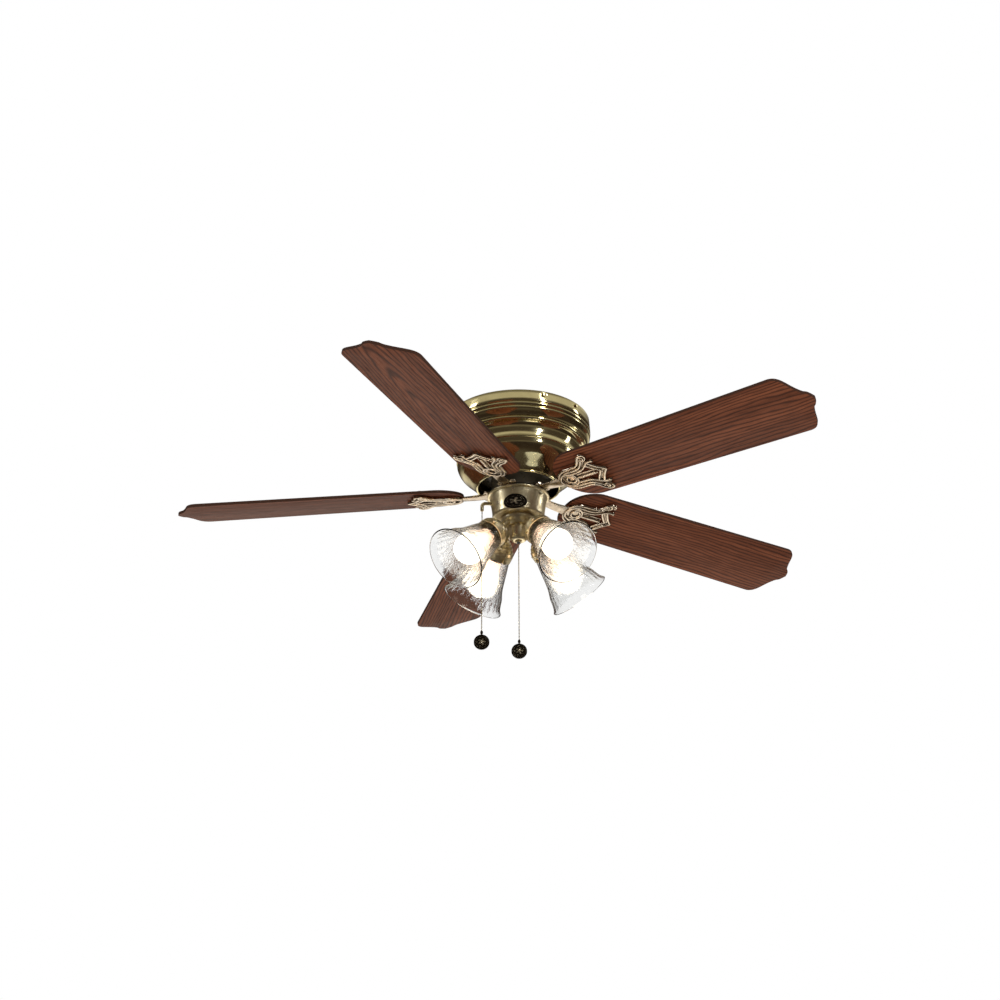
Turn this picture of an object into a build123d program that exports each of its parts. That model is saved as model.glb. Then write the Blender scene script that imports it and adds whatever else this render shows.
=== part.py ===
"""Flush-mount five-blade ceiling fan with a four-light kit and two pull chains.

The origin is on the fan's axis, on the ceiling. +Z is up and the front is towards -Y.
Azimuths are in degrees, counted from the front (-Y) towards +X.
"""
from build123d import *
import os
from math import cos, radians, sin

os.makedirs("parts", exist_ok=True)

# ---- Driving dimensions, in millimetres ----
BLADE_COUNT = 5
BLADE_TIP_RADIUS = 660.4          # 52 in across the blades
BLADE_FIRST_AZIMUTH = -14.3
BLADE_PITCH = 13.78               # degrees, the edge ahead of each blade is the lower one
BLADE_DROOP = 1.83                # degrees, fall of each blade towards its tip
BLADE_PLANE_Z = -154.6            # height of the blades' underside where it would cross the axis
BLADE_THICKNESS = 5.5
BLADE_CORNER_RADIUS_FROM_AXIS = 620.6
BLADE_HALF_WIDTH_AT_CORNER = 73.7
BLADE_HALF_WIDTH_AT_ROOT = 65.0
BLADE_ROOT = 105.0
BLADE_ROOT_FULL = 158.0
BLADE_SCREWS = [(160.0, 0.0), (186.0, 46.0), (186.0, -46.0)]
BLADE_SCREW_RADIUS = 2.35
BLADE_HOLE_RADIUS = 2.75

CANOPY_TOP_RADIUS = 139.5
CANOPY_INNER_RADIUS = 137.8
HOUSING_TOP_Z = -50.0
HOUSING_BOTTOM_Z = -143.0
HOUSING_WALL_RADIUS = 118.0
HOUSING_MOUTH_RADIUS = 77.0
WALL = 1.5

PLATE_THICKNESS = 2.0
PLATE_RIM_DEPTH = 14.0
WIRE_HOLE_RADIUS = 15.0
BOX_SCREW_SPACING_X = 88.9        # 3 1/2 in ceiling box
BOX_SCREW_SPACING_Y = 69.85       # 2 3/4 in ceiling box
BOX_SCREW_HOLE_RADIUS = 2.6
CANOPY_SCREW_AZIMUTHS = [27.8, 59.7]
CANOPY_SCREW_Z = -6.5

SHAFT_RADIUS = 7.5
SHAFT_BORE_RADIUS = 4.5
SHAFT_TOP_Z = -31.0
SHAFT_BOTTOM_Z = -178.0
BRACKET_FLOOR_Z = -44.0
BRACKET_SCREW_CIRCLE = 64.0
SWITCH_PLATE_Z = -163.0

STATOR_RADIUS = 70.0
STATOR_TOP_Z = -80.0
STATOR_HEIGHT = 20.0
STATOR_TEETH = 16
AIR_GAP = 0.5
ROTOR_RING_RADIUS = 82.0
ROTOR_SPLIT_Z = -90.0
ROTOR_FOOT_Z = -152.0
BEARING_TOPS_Z = [-60.0, -131.0]
BEARING_WIDTH = 11.0
BEARING_RADIUS = 17.5
BEARING_PITCH_RADIUS = 12.5
BALL_RADIUS = 2.5
BALL_GROOVE_RADIUS = 2.8
BALL_COUNT = 8

IRON_FOOT_THICKNESS = 4.5
IRON_PLATE_THICKNESS = 3.5
IRON_RIB_DEPTH = 7.0
IRON_SCREW_RADIUS_FROM_AXIS = 38.0
IRON_SCREW_OFFSET = 8.5
IRON_SCREW_RADIUS = 2.4

SWITCH_TOP_Z = -158.0
SWITCH_BOTTOM_Z = -206.0
SWITCH_TOP_RADIUS = 59.5
SWITCH_BODY_RADIUS = 50.0
SWITCH_SCREW_AZIMUTHS = [60.0, 150.0, 255.0]
SWITCH_SCREW_Z = -167.5

SPEED_CHAIN_AZIMUTH = -76.0
SPEED_CHAIN_RADIUS = 70.0
SPEED_BUSHING_Z = -176.0
SPEED_FOB_Z = -460.0
LIGHT_FOB_Z = -475.0
CHAIN_RADIUS = 1.2
BUSHING_RADIUS = 3.3
BUSHING_BORE_RADIUS = 2.1
FOB_RADIUS = 14.5
FOB_THICKNESS = 6.0
FOB_FACING = 7.0                  # azimuth that the fobs face

REVERSE_AZIMUTH = 180.0
REVERSE_TOP_Z = -172.0

FITTER_RADIUS = 34.0
FITTER_BOTTOM_Z = -222.5
CAP_RADIUS = 17.5
CAP_BOTTOM_Z = -252.0

LAMP_AZIMUTHS = [45.0, 135.0, 225.0, 315.0]
LAMP_TILT = 41.8                  # degrees below the horizontal
LAMP_RIM_RADIUS = 147.6           # from the fan's axis to the centre of a shade's rim
LAMP_RIM_Z = -327.3
SHADE_MOUTH_RADIUS = 61.2
SHADE_WALL = 2.4
SHADE_LENGTH = 112.0
HOLDER_MOUTH_RADIUS = 29.7
THUMBSCREW_DISTANCE = 107.5


# ---- Frames and small helpers ----
def outward(azimuth):
    """Horizontal unit vector pointing away from the axis at an azimuth."""
    return Vector(sin(radians(azimuth)), -cos(radians(azimuth)), 0)


def sideways(azimuth):
    """Horizontal unit vector at an azimuth, pointing towards rising azimuths."""
    return Vector(cos(radians(azimuth)), sin(radians(azimuth)), 0)


def radial_plane(azimuth, radius, height):
    """Plane facing outward from the axis, with its y along +Z."""
    return Plane(origin=outward(azimuth) * radius + Vector(0, 0, height),
                 x_dir=sideways(azimuth), z_dir=outward(azimuth))


def upright_plane(azimuth):
    """Plane that holds the fan's axis: its x runs outward and its y runs up."""
    return Plane(origin=(0, 0, 0), x_dir=outward(azimuth), z_dir=sideways(azimuth) * -1)


def blade_plane(azimuth, offset=0.0):
    """Plane of a blade's underside: x runs out along the blade, y across it."""
    fall = radians(BLADE_DROOP)
    pitch = radians(-BLADE_PITCH)
    along = outward(azimuth) * cos(fall) + Vector(0, 0, -sin(fall))
    across = sideways(azimuth) * cos(pitch) + Vector(0, 0, sin(pitch))
    normal = along.cross(across).normalized()
    origin = Vector(0, 0, BLADE_PLANE_Z) + normal * offset
    return Plane(origin=origin, x_dir=along, z_dir=normal)


def lamp_plane(azimuth):
    """Plane through a shade's axis: y = 0 at the rim's centre and y runs back to the holder."""
    tilt = radians(LAMP_TILT)
    back = outward(azimuth) * -cos(tilt) + Vector(0, 0, sin(tilt))
    side = sideways(azimuth)
    origin = outward(azimuth) * LAMP_RIM_RADIUS + Vector(0, 0, LAMP_RIM_Z)
    return Plane(origin=origin, x_dir=side, z_dir=side.cross(back))


def lamp_axis(azimuth):
    """Axis of a shade, from its rim towards its holder."""
    plane = lamp_plane(azimuth)
    return Axis(plane.origin, plane.y_dir)


def lamp_cross_plane(azimuth, distance):
    """Plane square to a shade's axis, at a distance back from the rim's centre."""
    plane = lamp_plane(azimuth)
    return Plane(origin=plane.origin + plane.y_dir * distance, x_dir=plane.x_dir, z_dir=plane.y_dir)


def turned(points, plane=Plane.XZ, axis=Axis.Z):
    """Solid of revolution from a closed outline of (radius, height) points."""
    with BuildPart() as piece:
        with BuildSketch(plane):
            with BuildLine():
                Polyline(*points, close=True)
            make_face()
        revolve(axis=axis)
    return piece.part


def save(part, label):
    """Label a finished piece and write it to its own file."""
    part.label = label
    export_step(part, f"parts/{label}.step")


# ---- Ceiling plate and hanger bracket ----
with BuildPart() as mounting_plate:
    with BuildSketch(Plane.XY.offset(-PLATE_THICKNESS)):
        Circle(CANOPY_INNER_RADIUS - 0.3)
        Circle(WIRE_HOLE_RADIUS, mode=Mode.SUBTRACT)
        with Locations((-BOX_SCREW_SPACING_X / 2, 0), (BOX_SCREW_SPACING_X / 2, 0),
                       (0, -BOX_SCREW_SPACING_Y / 2), (0, BOX_SCREW_SPACING_Y / 2)):
            Circle(BOX_SCREW_HOLE_RADIUS, mode=Mode.SUBTRACT)
    extrude(amount=PLATE_THICKNESS)
    with BuildSketch(Plane.XY.offset(-PLATE_RIM_DEPTH)):
        Circle(CANOPY_INNER_RADIUS - 0.3)
        Circle(CANOPY_INNER_RADIUS - 0.3 - PLATE_THICKNESS, mode=Mode.SUBTRACT)
    extrude(amount=PLATE_RIM_DEPTH - PLATE_THICKNESS)
    for third in range(3):
        for azimuth in CANOPY_SCREW_AZIMUTHS:
            with BuildSketch(radial_plane(azimuth + third * 120, CANOPY_INNER_RADIUS - 6,
                                          CANOPY_SCREW_Z)):
                Circle(1.9)
            extrude(amount=10, mode=Mode.SUBTRACT)
    with BuildSketch(Plane.XY.offset(-PLATE_THICKNESS)):
        with PolarLocations(BRACKET_SCREW_CIRCLE, 4, start_angle=45):
            Circle(2.1)
    extrude(amount=PLATE_THICKNESS, mode=Mode.SUBTRACT)
save(mounting_plate.part, "mounting_plate")

with BuildPart() as hanger_bracket:
    with BuildSketch(Plane.XZ):
        with BuildLine():
            Polyline((50, -PLATE_THICKNESS), (74, -PLATE_THICKNESS), (74, -4.5), (53, -4.5),
                     (53, BRACKET_FLOOR_Z), (SHAFT_RADIUS + 0.1, BRACKET_FLOOR_Z),
                     (SHAFT_RADIUS + 0.1, BRACKET_FLOOR_Z + 2.5), (50, BRACKET_FLOOR_Z + 2.5),
                     close=True)
        make_face()
    revolve(axis=Axis.Z)
    with BuildSketch(Plane.XY.offset(-4.5)):
        with PolarLocations(BRACKET_SCREW_CIRCLE, 4, start_angle=45):
            Circle(2.3)
    extrude(amount=2.5, mode=Mode.SUBTRACT)
    with BuildSketch(Plane.XY.offset(BRACKET_FLOOR_Z)):
        with PolarLocations(30, 3):
            Circle(7)
    extrude(amount=2.5, mode=Mode.SUBTRACT)
save(hanger_bracket.part, "hanger_bracket")

with BuildPart() as bracket_screws:
    with BuildSketch(Plane.XY.offset(-7.5)):
        with PolarLocations(BRACKET_SCREW_CIRCLE, 4, start_angle=45):
            Circle(4)
    extrude(amount=3)
    fillet(bracket_screws.edges().group_by(Axis.Z)[0], 1.2)
    with BuildSketch(Plane.XY.offset(-4.5)):
        with PolarLocations(BRACKET_SCREW_CIRCLE, 4, start_angle=45):
            Circle(2.0)
    extrude(amount=4)
save(bracket_screws.part, "bracket_screws")

# ---- Canopy: plain band, three grooves with beads between them, then a cove ----
with BuildPart() as canopy:
    with BuildSketch(Plane.XZ):
        with BuildLine():
            Polyline((CANOPY_INNER_RADIUS, 0), (CANOPY_TOP_RADIUS, 0), (141, -22.5),
                     (139.2, -24), (140, -25.5))
            ThreePointArc((140, -25.5), (141, -28.3), (139.8, -31))
            Polyline((139.8, -31), (138.2, -32.2), (138.8, -33.4))
            ThreePointArc((138.8, -33.4), (139.8, -36.2), (138.4, -39))
            Polyline((138.4, -39), (136.8, -40.2))
            ThreePointArc((136.8, -40.2), (133.2, -44.6), (131.2, HOUSING_TOP_Z))
            Polyline((131.2, HOUSING_TOP_Z), (119, HOUSING_TOP_Z), (119, -48.6), (129.4, -48.6),
                     (134.8, -39), (136.4, -24), (CANOPY_INNER_RADIUS, -16),
                     (CANOPY_INNER_RADIUS, 0))
        make_face()
    revolve(axis=Axis.Z)
    for third in range(3):
        for azimuth in CANOPY_SCREW_AZIMUTHS:
            with BuildSketch(radial_plane(azimuth + third * 120, CANOPY_INNER_RADIUS - 2,
                                          CANOPY_SCREW_Z)):
                Circle(2.3)
            extrude(amount=8, mode=Mode.SUBTRACT)
save(canopy.part, "canopy")

with BuildPart() as canopy_screws:
    for third in range(3):
        for azimuth in CANOPY_SCREW_AZIMUTHS:
            with BuildSketch(radial_plane(azimuth + third * 120, CANOPY_INNER_RADIUS - 5.5,
                                          CANOPY_SCREW_Z)):
                Circle(1.85)
            extrude(amount=8.5)
            with BuildSketch(radial_plane(azimuth + third * 120, CANOPY_TOP_RADIUS + 0.9,
                                          CANOPY_SCREW_Z)):
                Circle(3.6)
            extrude(amount=2.2, taper=18)
save(canopy_screws.part, "canopy_screws")

# ---- Motor housing: gold bead, step in, wall with a thin ring, rounded bowl, rolled lip ----
with BuildPart() as motor_housing:
    with BuildSketch(Plane.XZ):
        with BuildLine():
            Line((119, HOUSING_TOP_Z - 0.1), (129.6, HOUSING_TOP_Z - 0.1))
            ThreePointArc((129.6, HOUSING_TOP_Z - 0.1), (131.2, -53.4), (128.2, -57))
            ThreePointArc((128.2, -57), (122.2, -58.4), (119, -62.4))
            Polyline((119, -62.4), (HOUSING_WALL_RADIUS, -64), (HOUSING_WALL_RADIUS, -85.4))
            ThreePointArc((HOUSING_WALL_RADIUS, -85.4), (119.5, -87), (HOUSING_WALL_RADIUS, -88.6))
            Line((HOUSING_WALL_RADIUS, -88.6), (HOUSING_WALL_RADIUS, -96))
            ThreePointArc((HOUSING_WALL_RADIUS, -96), (112.6, -108.4), (103, -118))
            Line((103, -118), (81, -139.4))
            ThreePointArc((81, -139.4), (79.6, HOUSING_BOTTOM_Z), (HOUSING_MOUTH_RADIUS, -140.6))
            Polyline((HOUSING_MOUTH_RADIUS, -140.6), (78.2, -139.2), (101.6, -117))
            ThreePointArc((101.6, -117), (111.2, -107.4), (116.4, -96))
            Polyline((116.4, -96), (116.4, -62), (119, -57.6), (126, -55.2), (127.6, -51.8),
                     (119, -51.8), (119, HOUSING_TOP_Z - 0.1))
        make_face()
    revolve(axis=Axis.Z)
save(motor_housing.part, "motor_housing")

# ---- Motor: fixed shaft, stator and inner races ----
with BuildPart() as motor_shaft:
    with BuildSketch(Plane.XZ):
        with BuildLine():
            Polyline((SHAFT_BORE_RADIUS, SHAFT_TOP_Z), (SHAFT_RADIUS, SHAFT_TOP_Z),
                     (SHAFT_RADIUS, BRACKET_FLOOR_Z), (12, BRACKET_FLOOR_Z), (12, -49),
                     (SHAFT_RADIUS, -49), (SHAFT_RADIUS, SHAFT_BOTTOM_Z),
                     (SHAFT_BORE_RADIUS, SHAFT_BOTTOM_Z), close=True)
        make_face()
    revolve(axis=Axis.Z)
save(motor_shaft.part, "motor_shaft")

with BuildPart() as shaft_nuts:
    with BuildSketch(Plane.XY.offset(BRACKET_FLOOR_Z + 2.5)):
        RegularPolygon(12, 6)
        Circle(SHAFT_RADIUS, mode=Mode.SUBTRACT)
    extrude(amount=7)
    with BuildSketch(Plane.XY.offset(SWITCH_PLATE_Z - WALL)):
        RegularPolygon(12, 6)
        Circle(SHAFT_RADIUS, mode=Mode.SUBTRACT)
    extrude(amount=-7)
save(shaft_nuts.part, "shaft_nuts")

TOOTH_WIDTH = 6.5
TOOTH_ROOT_RADIUS = 42.0
TOOTH_SHOE_RADIUS = 65.0

with BuildPart() as stator_core:
    with BuildSketch(Plane.XY.offset(STATOR_TOP_Z - STATOR_HEIGHT)):
        Circle(STATOR_RADIUS)
        Circle(TOOTH_SHOE_RADIUS, mode=Mode.SUBTRACT)
        with PolarLocations(STATOR_RADIUS, STATOR_TEETH, start_angle=180 / STATOR_TEETH):
            Rectangle(14, 4, mode=Mode.SUBTRACT)
        with PolarLocations((TOOTH_ROOT_RADIUS + TOOTH_SHOE_RADIUS) / 2, STATOR_TEETH):
            Rectangle(TOOTH_SHOE_RADIUS - TOOTH_ROOT_RADIUS + 3, TOOTH_WIDTH)
        Circle(TOOTH_ROOT_RADIUS)
        Circle(SHAFT_RADIUS, mode=Mode.SUBTRACT)
    extrude(amount=STATOR_HEIGHT)
save(stator_core.part, "stator_core")

with BuildPart() as stator_windings:
    for tooth in range(STATOR_TEETH):
        azimuth = tooth * 360 / STATOR_TEETH + 90
        with BuildSketch(radial_plane(azimuth, TOOTH_ROOT_RADIUS + 2, STATOR_TOP_Z
                                      - STATOR_HEIGHT / 2)):
            RectangleRounded(TOOTH_WIDTH + 6, STATOR_HEIGHT + 10, 3)
            Rectangle(TOOTH_WIDTH + 0.2, STATOR_HEIGHT + 0.2, mode=Mode.SUBTRACT)
        extrude(amount=TOOTH_SHOE_RADIUS - TOOTH_ROOT_RADIUS - 4)
save(stator_windings.part, "stator_windings")


def race_outline(inner, outer, top):
    """Rectangle outline of a bearing race."""
    return [(inner, top), (outer, top), (outer, top - BEARING_WIDTH), (inner, top - BEARING_WIDTH)]


def bearing_race(inner, outer, top):
    """One race of a ball bearing, with its ball groove."""
    with BuildPart() as race:
        with BuildSketch(Plane.XZ):
            with BuildLine():
                Polyline(*race_outline(inner, outer, top), close=True)
            make_face()
            with Locations((BEARING_PITCH_RADIUS, top - BEARING_WIDTH / 2)):
                Circle(BALL_GROOVE_RADIUS, mode=Mode.SUBTRACT)
        revolve(axis=Axis.Z)
    return race.part


with BuildPart() as bearing_inner_races:
    for top in BEARING_TOPS_Z:
        add(bearing_race(SHAFT_RADIUS, 10.6, top))
save(bearing_inner_races.part, "bearing_inner_races")

with BuildPart() as bearing_outer_races:
    for top in BEARING_TOPS_Z:
        add(bearing_race(14.4, BEARING_RADIUS, top))
save(bearing_outer_races.part, "bearing_outer_races")

with BuildPart() as bearing_balls:
    for top in BEARING_TOPS_Z:
        with BuildSketch(Plane.XY.offset(top - BEARING_WIDTH / 2 - 3.6)):
            Circle(13.1)
            Circle(11.9, mode=Mode.SUBTRACT)
        extrude(amount=7.2)
        for ball in range(BALL_COUNT):
            with BuildSketch(radial_plane(ball * 360 / BALL_COUNT + 90, BEARING_PITCH_RADIUS - 2,
                                          top - BEARING_WIDTH / 2)):
                Circle(BALL_RADIUS + 0.15)
            extrude(amount=4, mode=Mode.SUBTRACT)
        with Locations((0, 0, top - BEARING_WIDTH / 2)):
            with PolarLocations(BEARING_PITCH_RADIUS, BALL_COUNT):
                Sphere(BALL_RADIUS)
save(bearing_balls.part, "bearing_balls")

# ---- Rotor: ring between two cast covers ----
with BuildPart() as rotor_ring:
    with BuildSketch(Plane.XY.offset(STATOR_TOP_Z - STATOR_HEIGHT - 1)):
        Circle(ROTOR_RING_RADIUS)
        Circle(STATOR_RADIUS + AIR_GAP, mode=Mode.SUBTRACT)
    extrude(amount=STATOR_HEIGHT + 2)
save(rotor_ring.part, "rotor_ring")

ROTOR_SCREW_CIRCLE = 89.0
COVER_RADIUS = 86.0

with BuildPart() as rotor_cover_upper:
    add(turned([(9, -57), (22, -57), (24, -63), (62, -67), (83, -75), (COVER_RADIUS, -79),
                (COVER_RADIUS, ROTOR_SPLIT_Z), (ROTOR_RING_RADIUS, ROTOR_SPLIT_Z),
                (ROTOR_RING_RADIUS, -79), (62, -71), (22, -71), (BEARING_RADIUS, -71),
                (BEARING_RADIUS, -60), (9, -60)]))
    with BuildSketch(Plane.XY.offset(ROTOR_SPLIT_Z)):
        with PolarLocations(ROTOR_SCREW_CIRCLE, 4, start_angle=30):
            Circle(5)
        Circle(COVER_RADIUS - 1, mode=Mode.SUBTRACT)
    extrude(amount=8)
    with BuildSketch(Plane.XY.offset(ROTOR_SPLIT_Z)):
        with PolarLocations(ROTOR_SCREW_CIRCLE + 0.5, 4, start_angle=30):
            Circle(2.1)
    extrude(amount=8, mode=Mode.SUBTRACT)
    with BuildSketch(Plane.XY.offset(-80)):
        with PolarLocations(45, 8):
            Rectangle(22, 7)
    extrude(amount=20, mode=Mode.SUBTRACT)
save(rotor_cover_upper.part, "rotor_cover_upper")

IRON_AZIMUTHS = [BLADE_FIRST_AZIMUTH + 360 / BLADE_COUNT * k for k in range(BLADE_COUNT)]
IRON_SCREW_ANGLES = [(a, side * IRON_SCREW_OFFSET) for a in IRON_AZIMUTHS for side in (-1, 1)]


def iron_screw_point(azimuth, offset):
    """Place in plan of one of the two screws that hold a blade iron."""
    point = outward(azimuth) * IRON_SCREW_RADIUS_FROM_AXIS + sideways(azimuth) * offset
    return (point.X, point.Y)


with BuildPart() as rotor_cover_lower:
    add(turned([(COVER_RADIUS, ROTOR_SPLIT_Z - 0.05), (COVER_RADIUS, -105), (80, -113), (54, -127),
                (50, -134), (50, ROTOR_FOOT_Z), (9, ROTOR_FOOT_Z), (9, -143),
                (BEARING_RADIUS, -143), (BEARING_RADIUS, -131), (22, -131), (22, -143),
                (45, -143), (45, -131), (50, -124), (77, -109.5), (ROTOR_RING_RADIUS, -103),
                (ROTOR_RING_RADIUS, ROTOR_SPLIT_Z - 0.05)]))
    with BuildSketch(Plane.XY.offset(ROTOR_SPLIT_Z - 8)):
        with PolarLocations(ROTOR_SCREW_CIRCLE, 4, start_angle=30):
            Circle(5)
        Circle(COVER_RADIUS - 1, mode=Mode.SUBTRACT)
    extrude(amount=8 - 0.05)
    with BuildSketch(Plane.XY.offset(ROTOR_SPLIT_Z - 8)):
        with PolarLocations(ROTOR_SCREW_CIRCLE + 0.5, 4, start_angle=30):
            Circle(1.9)
    extrude(amount=8, mode=Mode.SUBTRACT)
    with BuildSketch(Plane.XY.offset(ROTOR_FOOT_Z)):
        with Locations(*[iron_screw_point(*place) for place in IRON_SCREW_ANGLES]):
            Circle(IRON_SCREW_RADIUS + 0.05)
    extrude(amount=8, mode=Mode.SUBTRACT)
save(rotor_cover_lower.part, "rotor_cover_lower")

with BuildPart() as rotor_screws:
    with BuildSketch(Plane.XY.offset(ROTOR_SPLIT_Z - 7)):
        with PolarLocations(ROTOR_SCREW_CIRCLE + 0.5, 4, start_angle=30):
            Circle(1.85)
    extrude(amount=15)
    with BuildSketch(Plane.XY.offset(ROTOR_SPLIT_Z + 8)):
        with PolarLocations(ROTOR_SCREW_CIRCLE + 0.5, 4, start_angle=30):
            Circle(3.3)
    extrude(amount=2.6)
save(rotor_screws.part, "rotor_screws")


# ---- Blade irons: foot under the motor, twisted stem, and a trident under the blade ----
IRON_EYE_CENTRE = 127.0
IRON_EYE_RADIUS = 19.0
IRON_STEM_END = 101.5
IRON_STEM_WIDTH = 25.0
IRON_ARM_TIP = (187.0, 46.0)


def iron_arm(side):
    """Centre line of one side arm: off the eye, straight out, then a curl to its tip."""
    tip_x, tip_y = IRON_ARM_TIP
    ThreePointArc((114, 13 * side), (121, 18.6 * side), (131, 20.5 * side))
    Line((131, 20.5 * side), (157, 20.5 * side))
    ThreePointArc((157, 20.5 * side), (176.5, 29 * side), (tip_x, tip_y * side))


def iron_bracket(side):
    """Centre line of one half of the pointed bracket that closes the trident."""
    Line((182, 27 * side), (195, 13 * side))
    Line((195, 13 * side), (210, 0))


FOOT_PLANE = Plane(origin=(0, 0, ROTOR_FOOT_Z), x_dir=outward(0), z_dir=(0, 0, 1))
STEM_START = Plane(origin=FOOT_PLANE.origin + FOOT_PLANE.x_dir * 64, x_dir=sideways(0),
                   z_dir=outward(0))
PALM = blade_plane(0)
STEM_END = Plane(origin=PALM.origin + PALM.x_dir * IRON_STEM_END, x_dir=PALM.y_dir,
                 z_dir=PALM.x_dir)

# Foot and stem, from level at the motor to the blade's own pitch
with BuildPart() as iron_stem:
    with BuildSketch(FOOT_PLANE):
        with Locations((45, 0)):
            Rectangle(38, 28)
        with Locations((60, 0)):
            Rectangle(10, 36)
        with Locations((IRON_SCREW_RADIUS_FROM_AXIS, -IRON_SCREW_OFFSET),
                       (IRON_SCREW_RADIUS_FROM_AXIS, IRON_SCREW_OFFSET)):
            Circle(IRON_SCREW_RADIUS + 0.3, mode=Mode.SUBTRACT)
    extrude(amount=-IRON_FOOT_THICKNESS)
    with BuildSketch(STEM_START):
        with Locations((0, -IRON_FOOT_THICKNESS / 2)):
            Rectangle(IRON_STEM_WIDTH, IRON_FOOT_THICKNESS - 0.2)
    with BuildSketch(STEM_END):
        with Locations((0, -IRON_FOOT_THICKNESS / 2 - 0.2)):
            Rectangle(IRON_STEM_WIDTH - 2, IRON_FOOT_THICKNESS - 0.4)
    loft()

# Trident under the blade: an eye, two curling arms, a middle bar and a pointed bracket
with BuildPart() as iron_palm:
    with BuildSketch(blade_plane(0, 1.5)):
        with Locations((BLADE_ROOT - 3.5, 0)):
            Rectangle(5, IRON_STEM_WIDTH + 1)
    extrude(amount=-6.7)
    with BuildSketch(PALM):
        with Locations((IRON_EYE_CENTRE, 0)):
            Circle(IRON_EYE_RADIUS)
        with Locations((165, 0)):
            Rectangle(52, 13)
        with Locations((107, 0)):
            Rectangle(8, IRON_STEM_WIDTH)
        for side in (1, -1):
            with BuildLine():
                iron_arm(side)
                offset(amount=8, kind=Kind.ARC, side=Side.BOTH)
            make_face()
            with BuildLine():
                iron_bracket(side)
                offset(amount=4.5, kind=Kind.ARC, side=Side.BOTH)
            make_face()
        with Locations((IRON_EYE_CENTRE + 4, 0)):
            Ellipse(7, 5.5, mode=Mode.SUBTRACT)
    extrude(amount=-IRON_PLATE_THICKNESS)
    with BuildSketch(blade_plane(0, -IRON_PLATE_THICKNESS)):
        with Locations((IRON_EYE_CENTRE, 0)):
            Circle(IRON_EYE_RADIUS - 1)
            Circle(IRON_EYE_RADIUS - 5, mode=Mode.SUBTRACT)
        for side in (1, -1):
            with BuildLine():
                iron_arm(side)
                offset(amount=4, kind=Kind.ARC, side=Side.BOTH)
            make_face()
            with BuildLine():
                iron_bracket(side)
                offset(amount=2.5, kind=Kind.ARC, side=Side.BOTH)
            make_face()
        with Locations(*BLADE_SCREWS):
            Circle(6)
    extrude(amount=-(IRON_RIB_DEPTH - IRON_PLATE_THICKNESS))
    with BuildSketch(PALM):
        with Locations(*BLADE_SCREWS):
            Circle(BLADE_SCREW_RADIUS + 0.05)
    extrude(amount=-5.5, mode=Mode.SUBTRACT)

for index, azimuth in enumerate(IRON_AZIMUTHS, start=1):
    with BuildPart() as blade_iron:
        add(iron_stem.part, rotation=(0, 0, azimuth))
        add(iron_palm.part, rotation=(0, 0, azimuth))
    save(blade_iron.part, f"blade_iron_{index}")

with BuildPart() as iron_screws:
    with BuildSketch(Plane.XY.offset(ROTOR_FOOT_Z - IRON_FOOT_THICKNESS)):
        with Locations(*[iron_screw_point(*place) for place in IRON_SCREW_ANGLES]):
            Circle(IRON_SCREW_RADIUS)
    extrude(amount=IRON_FOOT_THICKNESS + 7)
    with BuildSketch(Plane.XY.offset(ROTOR_FOOT_Z - IRON_FOOT_THICKNESS)):
        with Locations(*[iron_screw_point(*place) for place in IRON_SCREW_ANGLES]):
            Circle(4.4)
    extrude(amount=-2.6, taper=15)
save(iron_screws.part, "iron_screws")


# ---- Blades: rounded root, slightly widening sides and a bracket-shaped tip ----
def blade_half_outline(side):
    """One half of a blade's outline, from the middle of the root to the tip's point."""
    root = BLADE_HALF_WIDTH_AT_ROOT * side
    corner = BLADE_HALF_WIDTH_AT_CORNER * side
    ThreePointArc((BLADE_ROOT, 0), (BLADE_ROOT + 14, root * 0.68), (BLADE_ROOT_FULL, root))
    Line((BLADE_ROOT_FULL, root), (BLADE_CORNER_RADIUS_FROM_AXIS - 12, corner))
    Spline((BLADE_CORNER_RADIUS_FROM_AXIS - 12, corner), (626, 66 * side), (637, 42 * side),
           (649, 19 * side), (BLADE_TIP_RADIUS, 0),
           tangents=[(1, 0), (0.32, -side)])


with BuildPart() as blade_pattern:
    with BuildSketch(PALM):
        with BuildLine():
            blade_half_outline(1)
            blade_half_outline(-1)
        make_face()
        with Locations(*BLADE_SCREWS):
            Circle(BLADE_HOLE_RADIUS, mode=Mode.SUBTRACT)
    extrude(amount=BLADE_THICKNESS)

for index, azimuth in enumerate(IRON_AZIMUTHS, start=1):
    with BuildPart() as blade:
        add(blade_pattern.part, rotation=(0, 0, azimuth))
    save(blade.part, f"blade_{index}")

with BuildPart() as blade_washers:
    for azimuth in IRON_AZIMUTHS:
        with BuildSketch(blade_plane(azimuth, BLADE_THICKNESS)):
            with Locations(*BLADE_SCREWS):
                Circle(6)
                Circle(BLADE_HOLE_RADIUS, mode=Mode.SUBTRACT)
        extrude(amount=1)
save(blade_washers.part, "blade_washers")

with BuildPart() as blade_screws:
    for azimuth in IRON_AZIMUTHS:
        with BuildSketch(blade_plane(azimuth, BLADE_THICKNESS + 1)):
            with Locations(*BLADE_SCREWS):
                Circle(5)
        extrude(amount=2.8, taper=20)
        with BuildSketch(blade_plane(azimuth, BLADE_THICKNESS + 1)):
            with Locations(*BLADE_SCREWS):
                Circle(BLADE_SCREW_RADIUS)
        extrude(amount=-(BLADE_THICKNESS + 6))
save(blade_screws.part, "blade_screws")

# ---- Switch housing and what it holds ----
SWITCH_PLATE_RADIUS = 51.5
SWITCH_PLATE_RIM_Z = -170.5

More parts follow.
